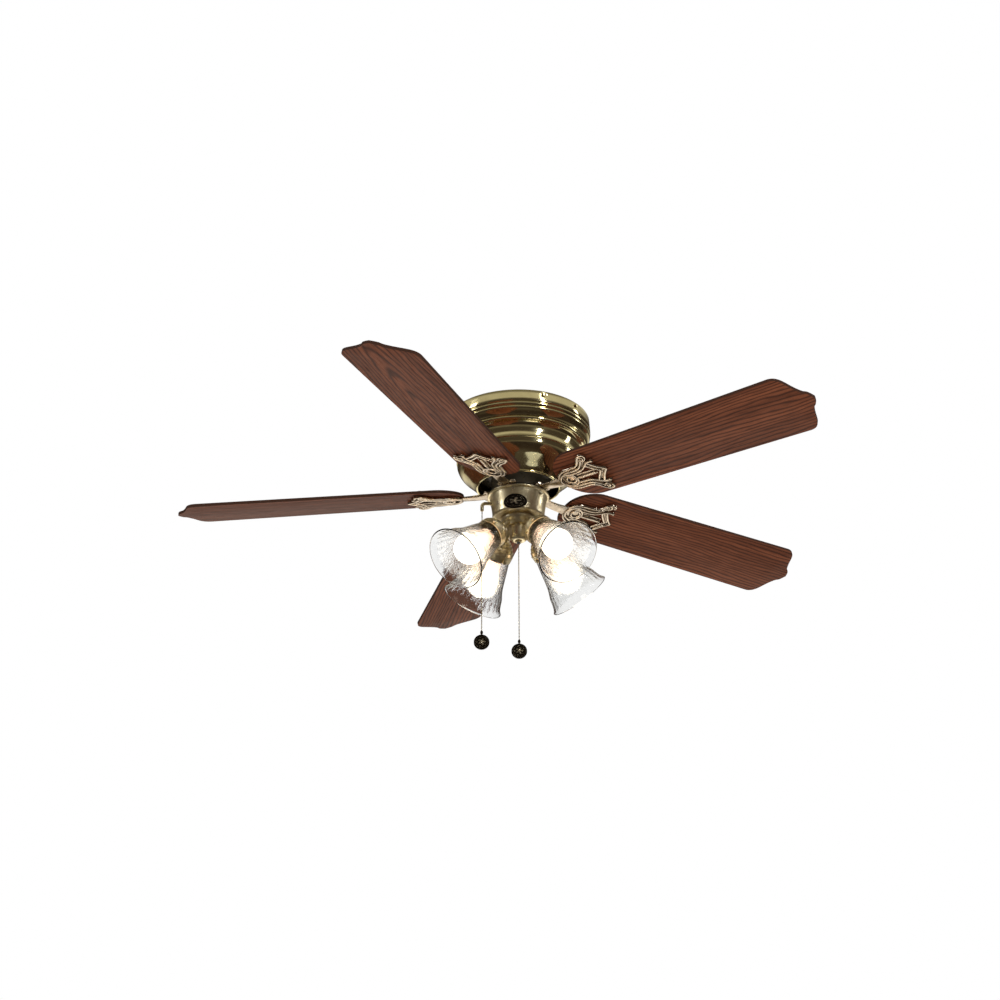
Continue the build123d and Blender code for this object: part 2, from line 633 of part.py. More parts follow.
with BuildPart() as switch_plate:
    add(turned([(SHAFT_RADIUS + 0.05, SWITCH_PLATE_Z), (SWITCH_PLATE_RADIUS, SWITCH_PLATE_Z),
                (SWITCH_PLATE_RADIUS, SWITCH_PLATE_RIM_Z),
                (SWITCH_PLATE_RADIUS - WALL, SWITCH_PLATE_RIM_Z),
                (SWITCH_PLATE_RADIUS - WALL, SWITCH_PLATE_Z - WALL),
                (SHAFT_RADIUS + 0.05, SWITCH_PLATE_Z - WALL)]))
    for azimuth in SWITCH_SCREW_AZIMUTHS:
        with BuildSketch(radial_plane(azimuth, SWITCH_PLATE_RADIUS - 5, SWITCH_SCREW_Z)):
            Circle(1.65)
        extrude(amount=10, mode=Mode.SUBTRACT)
save(switch_plate.part, "switch_plate")

with BuildPart() as switch_housing:
    with BuildSketch(Plane.XZ):
        with BuildLine():
            Line((53.8, SWITCH_TOP_Z), (57.6, SWITCH_TOP_Z))
            ThreePointArc((57.6, SWITCH_TOP_Z), (SWITCH_TOP_RADIUS, -160), (57.6, -162))
            Polyline((57.6, -162), (55.4, -162.8), (55, -164), (53, -175), (51, -188),
                     (SWITCH_BODY_RADIUS, -196), (SWITCH_BODY_RADIUS, -201))
            ThreePointArc((SWITCH_BODY_RADIUS, -201), (48.6, -204.5), (45, SWITCH_BOTTOM_Z))
            Polyline((45, SWITCH_BOTTOM_Z), (5.3, SWITCH_BOTTOM_Z),
                     (5.3, SWITCH_BOTTOM_Z + WALL), (44.4, SWITCH_BOTTOM_Z + WALL))
            ThreePointArc((44.4, SWITCH_BOTTOM_Z + WALL), (47.4, -203.4), (48.5, -200.6))
            Polyline((48.5, -200.6), (48.5, -196), (49.5, -188), (51.6, -175), (53.4, -165),
                     (53.8, SWITCH_TOP_Z))
        make_face()
    revolve(axis=Axis.Z)
    for azimuth in SWITCH_SCREW_AZIMUTHS:
        with BuildSketch(radial_plane(azimuth, SWITCH_PLATE_RADIUS - 1, SWITCH_SCREW_Z)):
            Circle(2)
        extrude(amount=10, mode=Mode.SUBTRACT)
    with BuildSketch(radial_plane(SPEED_CHAIN_AZIMUTH, 45, SPEED_BUSHING_Z)):
        Circle(BUSHING_RADIUS + 0.1)
    extrude(amount=15, mode=Mode.SUBTRACT)
    with BuildSketch(radial_plane(REVERSE_AZIMUTH, 45, REVERSE_TOP_Z - 6)):
        Rectangle(4, 12)
    extrude(amount=15, mode=Mode.SUBTRACT)
save(switch_housing.part, "switch_housing")

with BuildPart() as switch_housing_screws:
    for azimuth in SWITCH_SCREW_AZIMUTHS:
        with BuildSketch(radial_plane(azimuth, 47, SWITCH_SCREW_Z)):
            Circle(1.6)
        extrude(amount=8.2)
        with BuildSketch(radial_plane(azimuth, 55.2, SWITCH_SCREW_Z)):
            Circle(3)
        extrude(amount=1.8, taper=15)
save(switch_housing_screws.part, "switch_housing_screws")

with BuildPart() as medallion:
    with BuildSketch(radial_plane(0, 40, -191.5)):
        Ellipse(21.5, 14)
    extrude(amount=20)
    with BuildSketch(Plane.XZ):
        with BuildLine():
            Polyline((53.1, -176.5), (55.5, -176.5), (53.6, -188), (52.6, -196), (52.6, -207),
                     (50.1, -207), (50.1, -196), (51.1, -188), close=True)
        make_face()
    revolve(axis=Axis.Z, mode=Mode.INTERSECT)
save(medallion.part, "medallion")

with BuildPart() as capacitor:
    with BuildSketch(Plane.XY.offset(-200)):
        with Locations((22, 19)):
            RectangleRounded(30, 18, 2)
    extrude(amount=27)
save(capacitor.part, "capacitor")

with BuildPart() as speed_switch:
    with BuildSketch(radial_plane(SPEED_CHAIN_AZIMUTH, 26, SPEED_BUSHING_Z - 6)):
        RectangleRounded(20, 22, 2)
    extrude(amount=20)
save(speed_switch.part, "speed_switch")

with BuildPart() as speed_chain_bushing:
    with BuildLine(upright_plane(SPEED_CHAIN_AZIMUTH)) as elbow_path:
        Line((46.1, SPEED_BUSHING_Z), (63, SPEED_BUSHING_Z))
        TangentArc((63, SPEED_BUSHING_Z), (SPEED_CHAIN_RADIUS, SPEED_BUSHING_Z - 7),
                   tangent=elbow_path.workplanes[0].x_dir)
        Line((SPEED_CHAIN_RADIUS, SPEED_BUSHING_Z - 7), (SPEED_CHAIN_RADIUS, SPEED_BUSHING_Z - 16))
    with BuildSketch(radial_plane(SPEED_CHAIN_AZIMUTH, 46.1, SPEED_BUSHING_Z)):
        Circle(BUSHING_RADIUS)
        Circle(BUSHING_BORE_RADIUS, mode=Mode.SUBTRACT)
    sweep(path=elbow_path.wires()[0])
save(speed_chain_bushing.part, "speed_chain_bushing")

with BuildPart() as reverse_switch:
    with BuildSketch(radial_plane(REVERSE_AZIMUTH, 33, REVERSE_TOP_Z - 6)):
        RectangleRounded(14, 22, 1.5)
    extrude(amount=12)
    with BuildSketch(radial_plane(REVERSE_AZIMUTH, 45, REVERSE_TOP_Z - 6)):
        Rectangle(4, 12)
    extrude(amount=-4, mode=Mode.SUBTRACT)
save(reverse_switch.part, "reverse_switch")

with BuildPart() as reverse_slider:
    with BuildSketch(radial_plane(REVERSE_AZIMUTH, 41.5, REVERSE_TOP_Z - 3.5)):
        Rectangle(3.2, 5)
    extrude(amount=16)
save(reverse_slider.part, "reverse_slider")

# ---- Light kit ----
with BuildPart() as fitter_body:
    with BuildSketch(Plane.XZ):
        with BuildLine():
            Polyline((5.3, SWITCH_BOTTOM_Z - 0.05), (33, SWITCH_BOTTOM_Z - 0.05),
                     (FITTER_RADIUS, -207.5), (FITTER_RADIUS, -210.5))
            ThreePointArc((FITTER_RADIUS, -210.5), (29.5, -217.8), (19.5, FITTER_BOTTOM_Z))
            Polyline((19.5, FITTER_BOTTOM_Z), (14, FITTER_BOTTOM_Z), (14, FITTER_BOTTOM_Z + 1.6),
                     (19, FITTER_BOTTOM_Z + 1.6))
            ThreePointArc((19, FITTER_BOTTOM_Z + 1.6), (27.8, -216.6), (32, -210.5))
            Polyline((32, -210.5), (32, -208), (5.3, -208), (5.3, SWITCH_BOTTOM_Z - 0.05))
        make_face()
    revolve(axis=Axis.Z)
    for azimuth in LAMP_AZIMUTHS:
        with BuildSketch(lamp_cross_plane(azimuth, 166)):
            Circle(6.05)
        extrude(amount=-30, mode=Mode.SUBTRACT)
save(fitter_body.part, "fitter_body")

with BuildPart() as fitter_nipple:
    add(turned([(3.6, -196), (5.2, -196), (5.2, -215), (3.6, -215)]))
    with BuildSketch(Plane.XY.offset(SWITCH_BOTTOM_Z + WALL)):
        RegularPolygon(9, 6)
        Circle(5.2, mode=Mode.SUBTRACT)
    extrude(amount=4)
    with BuildSketch(Plane.XY.offset(-208)):
        RegularPolygon(9, 6)
        Circle(5.2, mode=Mode.SUBTRACT)
    extrude(amount=-4)
save(fitter_nipple.part, "fitter_nipple")

with BuildPart() as lamp_arms:
    for azimuth in LAMP_AZIMUTHS:
        with BuildSketch(lamp_cross_plane(azimuth, 164)):
            Circle(6)
            Circle(4.4, mode=Mode.SUBTRACT)
        extrude(amount=-23)
save(lamp_arms.part, "lamp_arms")

HOLDER_OUTLINE = [(7.5, 145), (9.5, 143), (9.5, 140), (14, 138), (15.5, 135), (18, 134),
                  (20.5, 130), (22.5, 129), (25, 123.5), (27, 122.5), (28.6, 117),
                  (HOLDER_MOUTH_RADIUS, 116), (HOLDER_MOUTH_RADIUS, 103)]
HOLDER_INSIDE = [(28.4, 103), (28.4, 115.6), (26.8, 118.4), (24.6, 122), (21, 128), (16.5, 133),
                 (12, 137), (6.1, 139), (6.1, 145)]

SHADE_OUTSIDE = [(SHADE_MOUTH_RADIUS, 0), (55.6, 9), (52, 20), (49.8, 28), (42.2, 46),
                 (37, 66), (34.2, 78), (29, 99), (27.2, 106), (27, SHADE_LENGTH)]

for index, azimuth in enumerate(LAMP_AZIMUTHS, start=1):
    with BuildPart() as shade_holder:
        add(turned(HOLDER_OUTLINE + HOLDER_INSIDE, lamp_plane(azimuth), lamp_axis(azimuth)))
        for turn in range(3):
            cross = lamp_cross_plane(azimuth, THUMBSCREW_DISTANCE)
            spoke = cross.x_dir.rotate(Axis((0, 0, 0), cross.z_dir), 90 + 120 * turn)
            with BuildSketch(Plane(origin=cross.origin + spoke * 26, z_dir=spoke)):
                Circle(1.85)
            extrude(amount=6, mode=Mode.SUBTRACT)
    save(shade_holder.part, f"shade_holder_{index}")

    with BuildPart() as glass_shade:
        with BuildSketch(lamp_plane(azimuth)):
            with BuildLine():
                Spline(*SHADE_OUTSIDE)
                Line((27, SHADE_LENGTH), (27 - SHADE_WALL, SHADE_LENGTH))
                Spline(*[(r - SHADE_WALL, s) for r, s in reversed(SHADE_OUTSIDE)])
                Line((SHADE_MOUTH_RADIUS - SHADE_WALL, 0), (SHADE_MOUTH_RADIUS, 0))
            make_face()
        revolve(axis=lamp_axis(azimuth))
    save(glass_shade.part, f"glass_shade_{index}")

with BuildPart() as thumbscrews:
    for azimuth in LAMP_AZIMUTHS:
        for turn in range(3):
            cross = lamp_cross_plane(azimuth, THUMBSCREW_DISTANCE)
            spoke = cross.x_dir.rotate(Axis((0, 0, 0), cross.z_dir), 90 + 120 * turn)
            with BuildSketch(Plane(origin=cross.origin + spoke * 27.3, z_dir=spoke)):
                Circle(1.8)
            extrude(amount=5)
            with BuildSketch(Plane(origin=cross.origin + spoke * 32.3, z_dir=spoke)):
                Circle(3.8)
            extrude(amount=4)
save(thumbscrews.part, "thumbscrews")

with BuildPart() as lamp_sockets:
    for azimuth in LAMP_AZIMUTHS:
        add(turned([(0, 124.5), (16, 124.5), (16, 96), (13.5, 96), (13.5, 121), (0, 121)],
                   lamp_plane(azimuth), lamp_axis(azimuth)))
        add(turned([(0, 124.5), (8, 124.5), (8, 134), (0, 134)],
                   lamp_plane(azimuth), lamp_axis(azimuth)))
save(lamp_sockets.part, "lamp_sockets")


def bulb(azimuth):
    """Screw base and round frosted envelope of one bulb."""
    with BuildPart() as piece:
        with BuildSketch(lamp_plane(azimuth)):
            with BuildLine():
                Polyline((0, 120.9), (6, 120.9), (13.2, 117), (13.2, 97))
                Spline((13.2, 97), (16, 84), (21.5, 70), (27, 56), (29.3, 42), (20, 21.4), (0, 14),
                       tangents=[(0.1, -1), (-1, 0)])
                Line((0, 14), (0, 120.9))
            make_face()
        revolve(axis=lamp_axis(azimuth))
    return piece.part


with BuildPart() as light_bulbs:
    for azimuth in LAMP_AZIMUTHS:
        add(bulb(azimuth))
save(light_bulbs.part, "light_bulbs")

with BuildPart() as bottom_cap:
    with BuildSketch(Plane.XZ):
        with BuildLine():
            Polyline((16, FITTER_BOTTOM_Z - 0.05), (18.6, FITTER_BOTTOM_Z - 0.05), (18.6, -225),
                     (CAP_RADIUS, -226.5), (CAP_RADIUS, -243))
            ThreePointArc((CAP_RADIUS, -243), (15.2, -249), (9, CAP_BOTTOM_Z))
            Polyline((9, CAP_BOTTOM_Z), (4.2, CAP_BOTTOM_Z), (4.2, CAP_BOTTOM_Z + 1.4),
                     (8.6, CAP_BOTTOM_Z + 1.4))
            ThreePointArc((8.6, CAP_BOTTOM_Z + 1.4), (14.1, -248), (16, -243))
            Line((16, -243), (16, FITTER_BOTTOM_Z - 0.05))
        make_face()
    revolve(axis=Axis.Z)
save(bottom_cap.part, "bottom_cap")

with BuildPart() as light_switch:
    add(turned([(0, -224.5), (12.5, -224.5), (12.5, -246), (3.9, -246), (3.9, -256.5),
                (BUSHING_BORE_RADIUS, -256.5), (BUSHING_BORE_RADIUS, -240), (0, -240)]))
save(light_switch.part, "light_switch")

with BuildPart() as cap_nut:
    add(turned([(3.95, CAP_BOTTOM_Z - 0.05), (6.5, CAP_BOTTOM_Z - 0.05), (6.5, -254.4),
                (5.4, -255.4), (3.95, -255.4)]))
save(cap_nut.part, "cap_nut")


# ---- Pull chains and their fobs ----
def hanging_chain(azimuth, radius, top, bottom):
    """Straight run of chain pulled taut by its fob."""
    foot = outward(azimuth) * radius + Vector(0, 0, bottom)
    with BuildPart() as chain:
        with BuildSketch(Plane(origin=foot, z_dir=(0, 0, 1))):
            Circle(CHAIN_RADIUS)
        extrude(amount=top - bottom)
    return chain.part


def fob(azimuth, radius, centre_z):
    """Round medallion on edge, with the bell coupling that holds it to the chain."""
    centre = outward(azimuth) * radius + Vector(0, 0, centre_z)
    face = Plane(origin=centre - outward(FOB_FACING) * (FOB_THICKNESS / 2),
                 x_dir=sideways(FOB_FACING), z_dir=outward(FOB_FACING))
    top = centre + Vector(0, 0, FOB_RADIUS - 0.3)
    with BuildPart() as piece:
        with BuildSketch(face):
            Circle(FOB_RADIUS)
        extrude(amount=FOB_THICKNESS)
        chamfer(piece.edges().filter_by(GeomType.CIRCLE), 1.2)
        with BuildSketch(Plane(origin=top, z_dir=(0, 0, 1))):
            Circle(2)
        extrude(amount=3)
        with BuildSketch(Plane(origin=top + Vector(0, 0, 3), z_dir=(0, 0, 1))):
            Circle(2.7)
        extrude(amount=5, taper=6)
    return piece.part


CHAIN_GAP_ABOVE_FOB = FOB_RADIUS - 0.3 + 8
LIGHT_CHAIN_TOP_Z = -242.0
SPEED_CHAIN_TOP_Z = SPEED_BUSHING_Z - 6

save(hanging_chain(0, 0, LIGHT_CHAIN_TOP_Z, LIGHT_FOB_Z + CHAIN_GAP_ABOVE_FOB), "light_chain")
save(fob(0, 0, LIGHT_FOB_Z), "light_fob")
save(hanging_chain(SPEED_CHAIN_AZIMUTH, SPEED_CHAIN_RADIUS, SPEED_CHAIN_TOP_Z,
                   SPEED_FOB_Z + CHAIN_GAP_ABOVE_FOB), "speed_chain")
save(fob(SPEED_CHAIN_AZIMUTH, SPEED_CHAIN_RADIUS, SPEED_FOB_Z), "speed_fob")
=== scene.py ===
"""Looks of the flush-mount ceiling fan with a four-light kit and two pull chains.

Profiles are written in millimetres, as in the CAD source, and meshes are made in metres.
Azimuths are in degrees, counted from the front (-Y) towards +X.
"""

from math import cos, exp, pi, radians, sin

import bmesh
import bpy
from mathutils import Matrix, Vector


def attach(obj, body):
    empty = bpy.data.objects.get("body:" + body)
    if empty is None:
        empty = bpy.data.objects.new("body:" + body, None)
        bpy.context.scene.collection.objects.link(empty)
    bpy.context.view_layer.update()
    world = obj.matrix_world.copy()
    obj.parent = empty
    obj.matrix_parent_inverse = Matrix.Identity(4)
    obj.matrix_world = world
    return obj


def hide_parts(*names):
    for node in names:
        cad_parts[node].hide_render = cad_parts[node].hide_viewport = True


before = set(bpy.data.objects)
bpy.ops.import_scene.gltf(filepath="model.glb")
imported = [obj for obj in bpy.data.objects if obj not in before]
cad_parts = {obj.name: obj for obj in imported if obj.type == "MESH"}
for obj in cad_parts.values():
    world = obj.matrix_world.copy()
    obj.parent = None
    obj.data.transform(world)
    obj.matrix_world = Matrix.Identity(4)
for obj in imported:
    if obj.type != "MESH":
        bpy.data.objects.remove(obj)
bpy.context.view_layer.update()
MM = 0.001

# ---- Dimensions shared with the CAD source ----
BLADE_AZIMUTHS = [-14.3 + 72 * k for k in range(5)]
BLADE_DROOP = 1.83
BLADE_PITCH = 13.78
BLADE_PLANE_Z = -154.6
ROTOR_FOOT_Z = -152.0
LAMP_AZIMUTHS = [45.0, 135.0, 225.0, 315.0]
LAMP_TILT = 41.8
LAMP_RIM_RADIUS = 147.6
LAMP_RIM_Z = -327.3
SPEED_CHAIN_AZIMUTH = -76.0
SPEED_CHAIN_RADIUS = 70.0
SPEED_CHAIN_ENDS = (-182.0, -437.8)
LIGHT_CHAIN_ENDS = (-242.0, -452.8)
CHAIN_RADIUS = 1.2
SPEED_FOB_Z = -460.0
LIGHT_FOB_Z = -475.0
FOB_RADIUS = 14.5
MEDALLION_Z = -191.5
MEDALLION_HALF_WIDTH = 22.8
MEDALLION_HALF_HEIGHT = 14.5
FOB_FACING = 7.0

SHADE_OUTSIDE = [(61.2, 0), (55.6, 9), (52, 20), (49.8, 28), (42.2, 46), (37, 66), (34.2, 78),
                 (29, 99), (27.2, 106), (27, 112)]
SHADE_WALL = 2.4
FLUTE_COUNT = 24


# ---- Frames ----
def outward(azimuth):
    """Horizontal unit vector pointing away from the axis at an azimuth."""
    return Vector((sin(radians(azimuth)), -cos(radians(azimuth)), 0))


def sideways(azimuth):
    """Horizontal unit vector at an azimuth, pointing towards rising azimuths."""
    return Vector((cos(radians(azimuth)), sin(radians(azimuth)), 0))


def placed(x_axis, y_axis, z_axis, origin):
    """Object matrix with these axes and an origin given in millimetres."""
    matrix = Matrix((x_axis, y_axis, z_axis)).transposed().to_4x4()
    matrix.translation = origin * MM
    return matrix


def lamp_place(azimuth):
    """Frame of a shade: the origin at its rim's centre and z running back to the holder."""
    tilt = radians(LAMP_TILT)
    back = outward(azimuth) * -cos(tilt) + Vector((0, 0, sin(tilt)))
    side = sideways(azimuth)
    origin = outward(azimuth) * LAMP_RIM_RADIUS + Vector((0, 0, LAMP_RIM_Z))
    return placed(side, back.cross(side), back, origin)


def blade_axes():
    """Along, across and normal directions of the blade at azimuth 0."""
    fall = radians(BLADE_DROOP)
    pitch = radians(-BLADE_PITCH)
    along = outward(0) * cos(fall) - Vector((0, 0, sin(fall)))
    across = sideways(0) * cos(pitch) + Vector((0, 0, sin(pitch)))
    return along, across, along.cross(across).normalized()


# ---- Mesh helpers ----
def make_mesh(name, points, faces):
    """Mesh in metres from points in millimetres, with its normals facing out."""
    mesh = bpy.data.meshes.new(name)
    mesh.from_pydata([Vector(p) * MM for p in points], [], faces)
    work = bmesh.new()
    work.from_mesh(mesh)
    bmesh.ops.recalc_face_normals(work, faces=work.faces)
    work.to_mesh(mesh)
    work.free()
    return mesh


def make_object(name, mesh, place=None):
    """Object in the scene from a mesh."""
    made = bpy.data.objects.new(name, mesh)
    bpy.context.scene.collection.objects.link(made)
    if place is not None:
        made.matrix_world = place
    return made


def smooth(mesh, angle):
    """Smooth shading, broken at edges sharper than an angle in degrees."""
    mesh.polygons.foreach_set("use_smooth", [True] * len(mesh.polygons))
    mesh.set_sharp_from_angle(angle=radians(angle))


def lathe(profile, segments, closed, change=None):
    """Points and faces of a turned solid about z from (radius, z) points.

    change(turn, z) gives what is added to the radius at an angle and a height.
    """
    points = []
    rings = []
    for radius, z in profile:
        start = len(points)
        if radius < 1e-6:
            points.append((0, 0, z))
            rings.append([start] * segments)
            continue
        for k in range(segments):
            turn = 2 * pi * k / segments
            grown = radius + (change(turn, z) if change else 0)
            points.append((grown * cos(turn), grown * sin(turn), z))
        rings.append(list(range(start, start + segments)))
    neighbours = list(zip(rings, rings[1:]))
    if closed:
        neighbours.append((rings[-1], rings[0]))
    faces = []
    for low, high in neighbours:
        for k in range(segments):
            n = (k + 1) % segments
            corners = [low[k], low[n], high[n], high[k]]
            face = [c for i, c in enumerate(corners) if c not in corners[:i]]
            if len(face) > 2:
                faces.append(face)
    return points, faces


def curve_through(points, steps):
    """Points of a Catmull-Rom curve through the given points, in any dimension."""
    padded = [points[0], *points, points[-1]]
    found = []
    for i in range(len(points) - 1):
        a, b, c, d = (Vector(p) for p in padded[i:i + 4])
        for k in range(steps):
            t = k / steps
            found.append(0.5 * ((2 * b) + (c - a) * t + (2 * a - 5 * b + 4 * c - d) * t * t
                                + (3 * b - a - 3 * c + d) * t ** 3))
    found.append(Vector(points[-1]))
    return found


def tube(path, radii, sides):
    """Points and faces of a closed round bar along a path, with a radius at each point."""
    points = []
    faces = []
    across = Vector((0, 0, 1))
    for i, centre in enumerate(path):
        ahead = (path[min(i + 1, len(path) - 1)] - path[max(i - 1, 0)]).normalized()
        across = (across - ahead * across.dot(ahead)).normalized()
        over = ahead.cross(across)
        for k in range(sides):
            turn = 2 * pi * k / sides
            points.append(centre + (across * cos(turn) + over * sin(turn)) * radii[i])
    for i in range(len(path) - 1):
        for k in range(sides):
            n = (k + 1) % sides
            faces.append((i * sides + k, i * sides + n, (i + 1) * sides + n, (i + 1) * sides + k))
    faces.append(list(range(sides)))
    faces.append([(len(path) - 1) * sides + k for k in range(sides)])
    return points, faces


def joined(parts):
    """One list of points and faces from several."""
    points = []
    faces = []
    for part_points, part_faces in parts:
        shift = len(points)
        points.extend(part_points)
        faces.extend([[index + shift for index in face] for face in part_faces])
    return points, faces


def ball(centre, radius):
    """Points and faces of a small sphere."""
    rings = 8
    profile = [(radius * sin(pi * k / rings), -radius * cos(pi * k / rings))
               for k in range(rings + 1)]
    points, faces = lathe(profile, 14, False)
    return [Vector(p) + Vector(centre) for p in points], faces


# ---- Materials ----
class Shader:
    """A material's node tree, with short calls that add nodes and link them."""

    def __init__(self, name):
        self.material = bpy.data.materials.new(name)
        self.material.use_nodes = True
        self.tree = self.material.node_tree
        self.surface = self.tree.nodes["Principled BSDF"]

    def put(self, socket, value):
        """Link a socket's value, or set it."""
        if isinstance(value, bpy.types.NodeSocket):
            self.tree.links.new(value, socket)
        else:
            socket.default_value = value

    def node(self, kind, inputs, **settings):
        """Add a node, set it up and give its first output."""
        made = self.tree.nodes.new("ShaderNode" + kind)
        for key, value in settings.items():
            setattr(made, key, value)
        for key, value in inputs.items():
            self.put(made.inputs[key], value)
        return made.outputs[0]

    def place(self, scale=(1, 1, 1), turn=0.0):
        """Object coordinates, turned about z in degrees and then stretched."""
        coordinates = self.tree.nodes.new("ShaderNodeTexCoord").outputs["Object"]
        turned = self.node("Mapping", {"Vector": coordinates, "Rotation": (0, 0, radians(turn))})
        return self.node("Mapping", {"Vector": turned, "Scale": scale})

    def noise(self, where, scale, detail, roughness=0.5, distortion=0.0):
        """Noise value from 0 to 1."""
        return self.node("TexNoise", {"Vector": where, "Scale": scale, "Detail": detail,
                                      "Roughness": roughness, "Distortion": distortion})

    def math(self, operation, first, second=0.0):
        """Result of a math node."""
        return self.node("Math", {0: first, 1: second}, operation=operation)

    def span(self, value, low, high, to_low=0.0, to_high=1.0):
        """Map a value from one range to another, clamped."""
        return self.node("MapRange", {0: value, 1: low, 2: high, 3: to_low, 4: to_high})

    def blend(self, factor, first, second):
        """Mix two colours."""
        made = self.tree.nodes.new("ShaderNodeMix")
        made.data_type = "RGBA"
        self.put(made.inputs[0], factor)
        self.put(made.inputs[6], first if isinstance(first, bpy.types.NodeSocket) else (*first, 1))
        self.put(made.inputs[7], second if isinstance(second, bpy.types.NodeSocket)
                 else (*second, 1))
        return made.outputs[2]

    def bump(self, height, strength, distance):
        """Normal from a height."""
        self.put(self.surface.inputs["Normal"],
                 self.node("Bump", {"Height": height, "Strength": strength, "Distance": distance}))

    def set(self, **inputs):
        """Put values on the surface shader, with _ for a space in a socket's name."""
        for key, value in inputs.items():
            if isinstance(value, tuple):
                value = (*value, 1)
            self.put(self.surface.inputs[key.replace("_", " ")], value)
        return self.material


def metal(name, bright, dull, roughness, mottle=40, bump=0.03):
    """Metal with faint clouds in its colour, uneven gloss and a fine surface."""
    shader = Shader(name)
    where = shader.place()
    clouds = shader.noise(where, mottle, 4)
    grain = shader.noise(where, 900, 2)
    shader.bump(grain, bump, 0.0002)
    return shader.set(Base_Color=shader.blend(shader.span(clouds, 0.35, 0.7), bright, dull),
                      Metallic=1.0,
                      Roughness=shader.span(clouds, 0.3, 0.75, roughness * 0.75, roughness * 1.4))


def shade_darkened_brass(name, bright, hollow, roughness):
    """Cast brass, bright on its ridges, with painted shade darkening its hollows, which are also
    duller.
    """
    shader = Shader(name)
    where = shader.place()
    geometry = shader.tree.nodes.new("ShaderNodeNewGeometry")
    clouds = shader.noise(where, 120, 4)
    edges = shader.math("ADD", geometry.outputs["Pointiness"],
                        shader.span(clouds, 0.3, 0.7, -0.012, 0.012))
    # raised runs from 0 in the hollows, where the colour is painted shade, to 1 on the ridges.
    raised = shader.span(edges, 0.465, 0.54)
    shader.bump(shader.noise(where, 500, 3), 0.08, 0.0003)
    return shader.set(Base_Color=shader.blend(raised, hollow, bright), Metallic=1.0,
                      Roughness=shader.span(raised, 0, 1, roughness * 1.9, roughness))


def relief_bronze(name, bright, hollow, roughness):
    """Blackened bronze, rubbed bright where the stored relief stands high."""
    shader = Shader(name)
    where = shader.place()
    stored = shader.tree.nodes.new("ShaderNodeAttribute")
    stored.attribute_name = "relief"
    clouds = shader.noise(where, 420, 4)
    height = shader.math("ADD", stored.outputs["Fac"], shader.span(clouds, 0.3, 0.7, -0.22, 0.22))
    raised = shader.span(height, 0.35, 0.85)
    shader.bump(shader.noise(where, 900, 3), 0.08, 0.0002)
    return shader.set(Base_Color=shader.blend(raised, hollow, bright), Metallic=1.0,
                      Roughness=shader.span(raised, 0, 1, roughness * 1.7, roughness))


def satin(name, colour, second, roughness, scale=60, bump=0.1):
    """Plain plastic or fibre with a fine mottled skin."""
    shader = Shader(name)
    where = shader.place()
    mottle = shader.noise(where, scale, 4)
    shader.bump(shader.noise(where, scale * 25, 2), bump, 0.0002)
    return shader.set(Base_Color=shader.blend(mottle, colour, second),
                      Roughness=shader.span(mottle, 0.3, 0.7, roughness * 0.85, roughness * 1.15))


def wood(name, azimuth, shift, heart):
    """Stained walnut: growth rings cut lengthwise, fine dark pores and blackened edges."""
    shader = Shader(name)
    flat = shader.place(turn=-azimuth)
    sway = shader.node("Mapping", {"Vector": flat, "Scale": (9, 2.2, 1), "Location": shift})
    bend = shader.span(shader.noise(sway, 1.0, 3), 0.25, 0.75, -0.011, 0.011)
    split = shader.tree.nodes.new("ShaderNodeSeparateXYZ")
    shader.put(split.inputs[0], flat)
    across = shader.math("ADD", split.outputs["X"], bend)
    along = shader.math("MULTIPLY", shader.math("ADD", split.outputs["Y"], heart[1]), 0.085)
    offset = shader.math("ADD", across, heart[0])
    distance = shader.math("SQRT", shader.math(
        "ADD", shader.math("MULTIPLY", offset, offset), shader.math("MULTIPLY", along, along)))
    wander = shader.math("ADD", shader.math("MULTIPLY", distance, 780.0),
                         shader.span(shader.noise(sway, 3.0, 3), 0.2, 0.8, -4.0, 4.0))
    rings = shader.span(shader.math("SINE", wander), -1, 1)
    late = shader.math("POWER", rings, 2.4)
    stretched = shader.node("Mapping", {"Vector": flat, "Scale": (640, 16, 640),
                                        "Location": shift})
    pores = shader.span(shader.noise(stretched, 1.0, 3, 0.6), 0.5, 0.68)
    broad = shader.node("Mapping", {"Vector": flat, "Scale": (60, 2.5, 20), "Location": shift})
    tone = shader.noise(broad, 1.0, 3)
    base = shader.blend(shader.span(tone, 0.3, 0.7), (0.108, 0.030, 0.012),
                        (0.200, 0.060, 0.025))
    ringed = shader.blend(shader.math("MULTIPLY", late, 0.78), base, (0.026, 0.0075, 0.0035))
    grained = shader.blend(shader.math("MULTIPLY", pores, 0.5), ringed, (0.016, 0.005, 0.0025))
    normal = shader.tree.nodes.new("ShaderNodeTexCoord").outputs["Normal"]
    level = shader.node("VectorMath", {0: normal, 1: blade_normal(azimuth)},
                        operation="DOT_PRODUCT")
    dot = level.node.outputs["Value"]
    on_face = shader.span(shader.math("ABSOLUTE", dot), 0.55, 0.8)
    carved = shader.math("ADD", shader.math("MULTIPLY", pores, -1.0),
                         shader.math("MULTIPLY", late, -0.5))
    shader.bump(shader.math("MULTIPLY", carved, on_face), 0.10, 0.0004)
    gloss = shader.span(pores, 0, 1, 0.54, 0.68)
    roughness = shader.math("MAXIMUM", gloss, shader.span(on_face, 0, 1, 0.85, 0.0))
    return shader.set(Base_Color=shader.blend(on_face, (0.040, 0.017, 0.010), grained),
                      Roughness=roughness, Specular_IOR_Level=0.1)


def blade_normal(azimuth):
    """Direction square to the blade at an azimuth."""
    return Matrix.Rotation(radians(azimuth), 3, "Z") @ blade_axes()[2]


